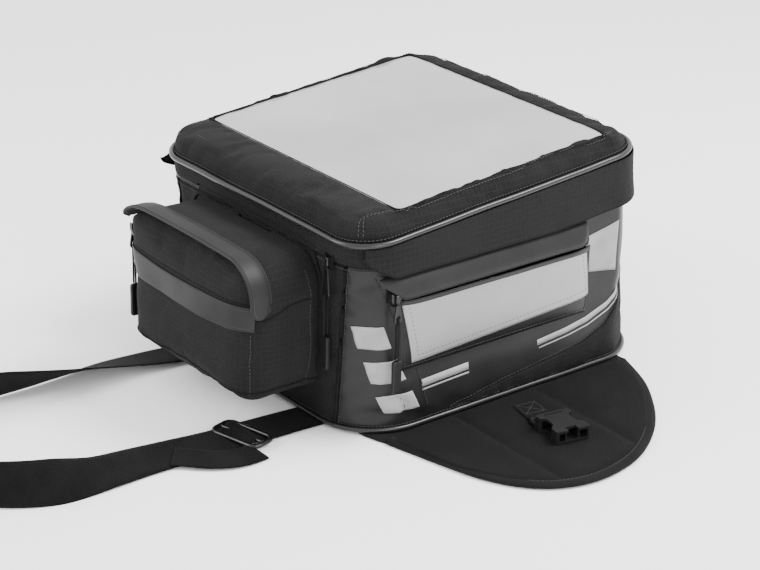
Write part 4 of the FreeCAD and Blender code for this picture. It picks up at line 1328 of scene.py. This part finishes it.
def wall_patch(name, corners, across, along, way, paint, slot, lift=0.35, thick=0.25):
    """A thin printed or sewn patch on the wall. Its corners are (column, height) pairs."""
    grid = patch(corners, across, along)
    laid = wall_line(way, grid.reshape(-1, 2), lift).reshape(along, across, 3)
    sheet(name, laid, paint, "bag", slot, thick=thick, levels=0, offset=0.0, flip=way < 0)


def stripe(name, centre, half, way, paint):
    """A printed stripe along a line of (column, height) pairs."""
    dense = wall_path(centre, 3.0)
    rows = [dense + (0, side) for side in (-half, 0, half)]
    laid = wall_line(way, np.vstack(rows), 0.4).reshape(3, len(dense), 3)
    sheet(name, laid, paint, "bag", "reflective", thick=0.2, levels=0, offset=0.0, flip=way < 0)


def make_prints(side, way):
    """Plain generic bars and stripes, and the sewn shapes of the side panel."""
    lean = 1.3
    for k, (low, high, start) in enumerate(((19, 37, 9.3), (49, 70, 7.2), (82, 103, 4.8))):
        a = ALONG + start
        wall_patch(f"print_block_{k}_{side}",
                   [(a + lean, low), (a + lean + 6.2, low + 2), (a, high), (a + 6.2, high + 2)],
                   16, 12, way, "print", "reflective")
    rear = ALONG + BEND + SIDE
    run = [(column_at(-90), 43), (column_at(-64), 44), (column_at(-38), 45)]
    stripe(f"print_stripe_low_{side}", run, 3.4, way, "print")
    stripe(f"print_line_low_{side}", [(c, z - 6.3) for c, z in run], 0.8, way, "print")
    run = [(column_at(41), 45), (column_at(75), 48), (column_at(100), 52), (rear, 60),
           (rear + 4, 74)]
    stripe(f"print_stripe_high_{side}", run, 2.6, way, "print")
    stripe(f"print_line_high_{side}", [(c + 0.4, z - 5.4) for c, z in run], 0.7, way, "print")
    mark = [(rear - 4.5, 98), (rear + 2.0, 92), (rear - 5.5, 132), (rear + 2.6, 140)]
    wall_patch(f"print_patch_{side}", mark, 12, 16, way, "print", "reflective")
    # the lower rear corner is cloth, sewn on with a curved seam
    seam = [(column_at(y), z) for y, z in ((-60, 8.2), (-30, 14), (0, 19), (60, 26), (95, 31))]
    seam += [(rear - 0.5, 42), (rear + 3, 60), (rear + 7, 76), (rear + BEND - SEAM - 0.3, 90)]
    path = wall_path(seam, 5.0)
    floor = 7.5
    rows = [np.column_stack([path[:, 0], floor + (path[:, 1] - floor) * share])
            for share in np.linspace(0, 1, 9)]
    laid = wall_line(way, np.vstack(rows), 0.5).reshape(9, len(path), 3)
    sheet(f"lower_panel_{side}", laid, "cloth", "bag", "body_cloth", thick=0.9, levels=0,
          offset=0.0, flip=way < 0)
    stitches(f"lower_stitch_{side}", wall_line(way, path + (0, 2.2), 0.35), "bag", "body_cloth",
             thick=0.36)
    front = [(column_at(-97) - 6.5, 148), (column_at(-97) - 3.5, 120), (column_at(-97), 80),
             (column_at(-90), 45), (column_at(-86), 20)]
    stitches(f"front_seam_stitch_{side}", wall_line(way, wall_path(front, 2.0), 0.45), "bag",
             "smooth_cloth", thick=0.4)


# ---------------------------------------------------------------- wings

# The wing's edge, from its front root round to its rear root: x and y.
WING = [(128, -141), (172, -129), (214, -120.5), (252, -110.5), (284, -92), (305, -66), (314, -30),
        (308, 10), (293, 44), (262, 84), (217, 119), (188, 134), (150, 148)]
CHANNELS = (-57.0, 35.0)
WING_ROOT = 156.0


def make_wing(side, way):
    body = f"wing_{side}"
    edge = smooth_line("wing_line", [(x, y, 0) for x, y in WING])[:, :2]
    ys = np.linspace(-131.5, 143.0, 112)
    reach = np.interp(ys, edge[:, 1], edge[:, 0])
    shares = np.linspace(0, 1, 60)
    x = WING_ROOT + (reach - 4 - WING_ROOT)[:, None] * shares[None]
    y = np.repeat(ys[:, None], len(shares), 1)
    walls = np.array([-131.5, *CHANNELS, 143.0])
    cell = np.clip(np.searchsorted(walls, y) - 1, 0, 2)
    v = (y - walls[cell]) / (walls[cell + 1] - walls[cell])
    puff = (1 - np.abs(2 * v - 1) ** 4) ** 0.75
    rim = np.clip(np.minimum(x - WING_ROOT, (reach - 9)[:, None] - x) / 13, 0, 1)
    puff *= np.sqrt(np.clip(1 - (1 - rim) ** 2, 0, 1))
    flat = np.stack([x, y, np.zeros_like(x)], -1).reshape(-1, 3)
    pucker = (wobble(flat * (1, 0.4, 1), 0.06, 0.9, 4.0) + wobble(flat, 0.02, 0.9, 1.0))
    z = 2.9 + puff * 3.4 + pucker.reshape(x.shape) * (0.25 + 0.75 * puff)
    under_tab = np.exp(-(((x - 222) / 46) ** 4) - ((y + 4) / 21) ** 4)
    z = np.minimum(z, 5.6 - 0.75 * under_tab)
    z = np.maximum(z, 2.7)
    quilt = sheet(f"wing_quilt_{side}", np.stack([x, y, z], -1), "quilt", body, "body_cloth",
                  f"wing_pad_{side}", 1.0, way=way, flip=True)
    under = np.stack([x, y, np.full_like(x, 0.3)], -1)[::4, ::4]
    sheet(f"wing_sole_{side}", under, "rubber", body, "base_rubber", f"wing_base_{side}", 0.5,
          levels=0, offset=0.0, way=way)
    # the bound edge: a folded tape round the wing
    rim_line = resample(edge[edge[:, 0] > WING_ROOT + 1], 3.0)
    along = unit(np.gradient(rim_line, axis=0))
    inward = np.column_stack([-along[:, 1], along[:, 0]])
    path = at_height(rim_line + inward * 5.0, 2.75)
    path[:, 2] += wobble(path, 0.03, 0.25)
    rod(f"wing_tape_{side}", path * (way, 1, 1), 5.2, "binding", body, "binding",
        f"wing_binding_{side}", around=16, flatten=0.5)
    line = at_height(rim_line + inward * 7.6, 5.05)
    stitches(f"wing_stitch_{side}", line * (way, 1, 1), body, "binding", thick=0.36)
    for k, channel in enumerate(CHANNELS):
        far = float(np.interp(channel, ys, reach)) - 12
        line = [(px, channel, 3.35) for px in np.linspace(WING_ROOT + 3, far, 30)]
        stitches(f"quilt_stitch_{k}_{side}", np.array(line) * (way, 1, 1), body, "body_cloth",
                 thick=0.38)
    finish_node(f"magnets_{side}", "magnet", 0.4)
    make_root(side, way, edge)


def make_root(side, way, edge):
    """The bare cloth between the base and the wing, which folds."""
    ys = np.linspace(-139, 146.5, 80)
    base = outline(BASE[0] + 0.6, BASE[1] + 0.6, BASE[2] + 0.3)[0] + BASE_SHIFT
    quarter = base[base[:, 0] > 60]
    quarter = quarter[np.argsort(quarter[:, 1])]
    inner = np.interp(ys, quarter[:, 1], quarter[:, 0])
    outer = np.minimum(np.interp(ys, edge[:, 1], edge[:, 0]) - 1, WING_ROOT + 2)
    outer = np.maximum(outer, inner + 0.8)
    shares = np.linspace(0, 1, 14)
    x = inner[:, None] + (outer - inner)[:, None] * shares[None]
    y = np.repeat(ys[:, None], len(shares), 1)
    flat = np.stack([x, y, np.zeros_like(x)], -1)
    z = 1.5 + wobble(flat.reshape(-1, 3), 0.05, 0.3).reshape(x.shape)
    flat[..., 2] = z
    root = sheet(f"wing_hinge_{side}", flat, "binding", None, "body_cloth", f"wing_root_{side}",
                 1.6, levels=0, offset=0.0, way=way, flip=True)
    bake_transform(root)


def make_tab(side, way):
    """The buckle's webbing, sewn down with a crossed box."""
    turn = math.radians(-10)
    out, across = (np.array((math.cos(turn), math.sin(turn), 0)),
                   np.array((-math.sin(turn), math.cos(turn), 0)))
    origin = np.array((209.0, -1.0, 0.0))

    def at(u, v, z):
        return (origin + out * u + across * v + (0, 0, z)) * (way, 1, 1)

    path = np.array([at(u, 0, z) for u, z in
                     [(-33, 5.9), (-25, 6.4), (-15, 6.5), (-8, 6.6), (-4, 7.6), (-1, 9.2),
                      (1.5, 9.6), (3.4, 8.4), (3.9, 7.0), (2.4, 6.0), (-2, 5.9), (-10, 5.8)]])
    path = smooth_line("tab_line", path)
    ribbon(f"tab_{side}", path, np.zeros(len(path)), 25, 1.3, f"wing_{side}",
           f"buckle_tab_{side}")
    for k, chain in enumerate(crossed_box(-31, -13, 9.5)):
        line = resample(np.array([at(u, v, 7.25) for u, v in chain]), 1.0)
        stitches(f"tab_stitch_{k}_{side}", line, f"wing_{side}", "webbing", pitch=2.6,
                 length=1.9, thick=0.35)


for SIDE_NAME, WAY in SIDES.items():
    make_pouch(SIDE_NAME, WAY)
    make_hood(SIDE_NAME, WAY)
    make_side_zip(SIDE_NAME, WAY)
    make_prints(SIDE_NAME, WAY)
    make_wing(SIDE_NAME, WAY)
    make_tab(SIDE_NAME, WAY)


# ---------------------------------------------------------------- buckles

BUCKLE_TURN = math.radians(10)


def boolean(piece, cutters, operation):
    """Cuts or joins other pieces into a piece for good."""
    for cutter in cutters:
        add_modifier(piece, "BOOLEAN", object=cutter, operation=operation, solver="EXACT")
    bpy.context.view_layer.update()
    graph = bpy.context.evaluated_depsgraph_get()
    made = bpy.data.meshes.new_from_object(piece.evaluated_get(graph))
    piece.modifiers.clear()
    piece.data = made
    for cutter in cutters:
        bpy.data.objects.remove(cutter)


def prism(name, outline_points, low, high):
    """An upright solid over an outline of (x, y) points."""
    points = np.vstack([at_height(np.array(outline_points, float), z) for z in (low, high)])
    return new_piece(name, points, capped_faces(2, len(outline_points)), "plastic", None, None)


def block(name, low, high):
    return prism(name, [(low[0], low[1]), (high[0], low[1]), (high[0], high[1]),
                        (low[0], high[1])], low[2], high[2])


def make_buckle(side, way):
    """The socket half of the side-release buckle: waisted, open at its mouth and sides."""
    half = [(11.0, 15.2), (12.6, 16.5), (17.0, 16.5), (18.6, 15.6), (20.2, 12.2), (22.0, 11.0),
            (31.0, 11.0), (33.5, 12.0), (36.5, 15.4), (38.8, 16.5), (46.0, 16.5), (47.0, 15.6)]
    plan = [(u, -v) for u, v in half] + [(u, v) for u, v in half[::-1]]
    base = 6.3
    buckle = prism(f"side_buckle_{side}", plan, base, base + 12.6)
    boolean(buckle, [block("hollow", (15.5, -14.0, base + 2.4), (60, 14.0, base + 10.2)),
                     block("notch", (41.5, -5.0, base + 9), (60, 5.0, base + 14)),
                     block("slot", (13.6, -9, base + 10.9), (14.8, 9, base + 14))], "DIFFERENCE")
    ribs = [block(f"rib_{k}", (24, v - 0.7, base + 2), (45.5, v + 0.7, base + 10.6))
            for k, v in enumerate((-6.2, 6.2))]
    boolean(buckle, ribs, "UNION")
    arms = resample([(13, -13.6, 8.5), (0.8, -13.6, 8.4), (-0.2, -12.6, 8.3), (-0.2, 12.6, 8.3),
                     (0.8, 13.6, 8.4), (13, 13.6, 8.5)], 1.2)
    loop_points, loop_faces = tube(arms, 1.9, around=12)
    body = [tuple(v.co / MM) for v in buckle.data.vertices]
    faces = [tuple(f.vertices) for f in buckle.data.polygons]
    bpy.data.objects.remove(buckle)
    points, faces = joined_parts([(np.array(body), faces), (loop_points, loop_faces)])
    points[:, :2] = points[:, :2] @ turning(-BUCKLE_TURN) + (209.0, -1.0)
    points, faces = mirrored(points, faces, way)
    buckle = new_piece(f"side_buckle_{side}", points, faces, "plastic", f"buckle_{side}",
                       "buckle_plastic", f"buckle_{side}")
    add_modifier(buckle, "BEVEL", width=0.55 * MM, segments=2, limit_method="ANGLE",
                 angle_limit=math.radians(40))
    add_modifier(buckle, "WEIGHTED_NORMAL")


# ---------------------------------------------------------------- zip pulls

# The puller's hole, from part.py: its middle above the plate's lower end, its radius, and how far
# above its lower edge the cord's bend sits.
HOLE_RISE, HOLE_RADIUS, CORD_SEAT = 5, 2.2, 1.5
# A pull's cord, from part.py: across and up from its bend in the hole.
PULL_CORD = [(-1.9, -38), (-1.6, -22), (-1.95, -11), (-1.75, -4.5), (-1.7, 0), (1.7, 0),
             (1.75, -4.5), (2.05, -11), (1.6, -22), (1.9, -38)]


def make_toggle(name, node, out, body):
    """A moulded grip with rounded ends and raised edges down its sides."""
    low, high = node_box(node)
    centre = (low + high) / 2
    out = np.array(out, float)
    across = np.array((-out[1], out[0], 0.0))
    wide, thick = 4.6, 2.35
    rows = []
    heights = [0, 0.35, 1.1, 2.6, 5, 8, 14, 20, 25, 27, 29, 30.2, 30.8, 31]
    for rise in heights:
        end = min(rise, 31 - rise)
        full = math.sqrt(max(0.0, 1 - max(0.0, 1 - end / 2.4) ** 2)) * 0.55 + 0.45
        waist = 1 - 0.06 * math.exp(-((rise - 17) / 8) ** 2)
        ring = []
        for a in np.linspace(0, 2 * math.pi, 32, endpoint=False):
            c, s = math.cos(a), math.sin(a)
            u = math.copysign(abs(c) ** 0.45, c) * wide * full * waist
            v = math.copysign(abs(s) ** 0.5, s) * thick * full
            if 5 <= rise <= 27 and abs(u) < 2.9:
                v *= 0.86
            ring.append(centre + across * u + out * v + (0, 0, rise - 15.5))
        rows.append(ring)
    points = np.array(rows).reshape(-1, 3)
    faces = [f[::-1] for f in capped_faces(len(rows), 32)]
    return finish_cloth(new_piece(name, points, faces, "grip", body, "toggle_rubber", node), 0)


def make_pull(prefix, side, out):
    tail = f"_{side}" if side else ""
    body = {"main": "main_pull", "pocket": "pocket_pull"}.get(prefix, f"side_pull{tail}")
    finish_node(f"{prefix}_slider{tail}", "metal", 0.5)
    finish_node(f"{prefix}_puller{tail}", "metal", 0.3)
    low, high = node_box(f"{prefix}_puller{tail}")
    spot = (low + high) / 2
    spot[2] = low[2] + HOLE_RISE - HOLE_RADIUS + CORD_SEAT
    out = np.array(out, float)
    line = smooth_line(f"{prefix}_cord_line{tail}",
                       [spot + out * y + (0, 0, z) for y, z in PULL_CORD])
    cord = rod(f"{prefix}_pull_cord{tail}", line, 0.9, "cord", body, "pull_cord",
               f"{prefix}_cord{tail}", around=10)
    grip = make_toggle(f"{prefix}_grip{tail}", f"{prefix}_toggle{tail}", out, body)


# ---------------------------------------------------------------- carry handle


def make_handle():
    """The padded webbing handle across the rider's end."""
    low, _ = node_box("rear_handle")
    xs = np.linspace(-118, 118, 97)
    tall = 38.0
    rows = []
    for share in np.linspace(0, 1, 9):
        z = low[2] + 1.2 + tall * share
        wall = WALL.lay(np.column_stack([xs, np.full(len(xs), 170.0), np.full(len(xs), z)]), 1.4)
        reach = np.clip(1 - (xs / 93) ** 2, 0, 1) ** 1.15
        wall[:, 1] += 16.5 * reach
        wall[:, 0], wall[:, 2] = xs, z - 2.2 * reach
        rows.append(wall)
    grid = np.stack(rows)
    count, columns = grid.shape[:2]
    uv = [(x * MM, share * tall * MM) for share in np.linspace(0, 1, count) for x in xs]
    strap = new_piece("handle_strap", grid.reshape(-1, 3),
                      [f[::-1] for f in grid_faces(count, columns)], "webbing", "bag",
                      "smooth_cloth", "rear_handle", uv)
    finish_cloth(strap, 2.4, levels=1, offset=0.0)
    # the grip: a padded sleeve sewn round the middle
    middle = np.abs(xs) < 58
    core = grid[:, middle].mean(axis=0)
    ends = np.abs(xs[middle]) / 58
    rings = []
    for k, spot in enumerate(core):
        swell = 1 - 0.55 * ends[k] ** 14
        ring = []
        for a in np.linspace(0, 2 * math.pi, 28, endpoint=False):
            c, s = math.cos(a), math.sin(a)
            up = math.copysign(abs(c) ** 0.6, c) * 20.4
            depth = math.copysign(abs(s) ** 0.75, s) * (1.9 + 1.9 * swell)
            ring.append(spot + (0, depth, up))
        rings.append(ring)
    points = np.array(rings).reshape(-1, 3)
    points[:, 1] += wobble(points, 0.03, 0.35, 5.0)
    faces = capped_faces(len(rings), 28)
    grip = new_piece("handle_grip", points, faces, "quilt", "bag", "smooth_cloth")
    finish_cloth(grip, 0)
    for up in (-15.5, 15.5):
        line = core + (0, 3.9, up)
        stitches(f"handle_stitch_{'low' if up < 0 else 'high'}", line[2:-2], "bag",
                 "smooth_cloth")
    for g in (-1, 1):
        centre = low[2] + 1.2 + tall / 2
        for k, chain in enumerate(crossed_box(g * 97, g * 115, 14)):
            line = resample([(x, 175.0, centre + z) for x, z in chain], 1.2)
            stitches(f"handle_box_{k}_{g + 1}", WALL.lay(line, 3.0), "bag", "smooth_cloth",
                     pitch=2.8, length=2.0, thick=0.4)


for SIDE_NAME, WAY in SIDES.items():
    make_buckle(SIDE_NAME, WAY)
    make_pull("side", SIDE_NAME, (WAY, 0, 0))
make_pull("main", "", (0, -1, 0))
make_pull("pocket", "", (-1, 0, 0))
make_handle()
for NODE in ("base_stiffener", "lid_board"):
    finish_node(NODE, "board", 0.5)


# ---------------------------------------------------------------- floor


def make_floor():
    size = 12.0
    mesh = bpy.data.meshes.new("floor")
    mesh.from_pydata([(-size, -size, 0), (size, -size, 0), (size, size, 0), (-size, size, 0)], [],
                     [(0, 1, 2, 3)])
    floor = bpy.data.objects.new("floor", mesh)
    bpy.context.scene.collection.objects.link(floor)
    paint = Paint("floor", 0.9)
    paint.set(paint.shader, Base_Color=(0.96, 0.96, 0.96, 1))
    mesh.materials.append(paint.material)


make_floor()
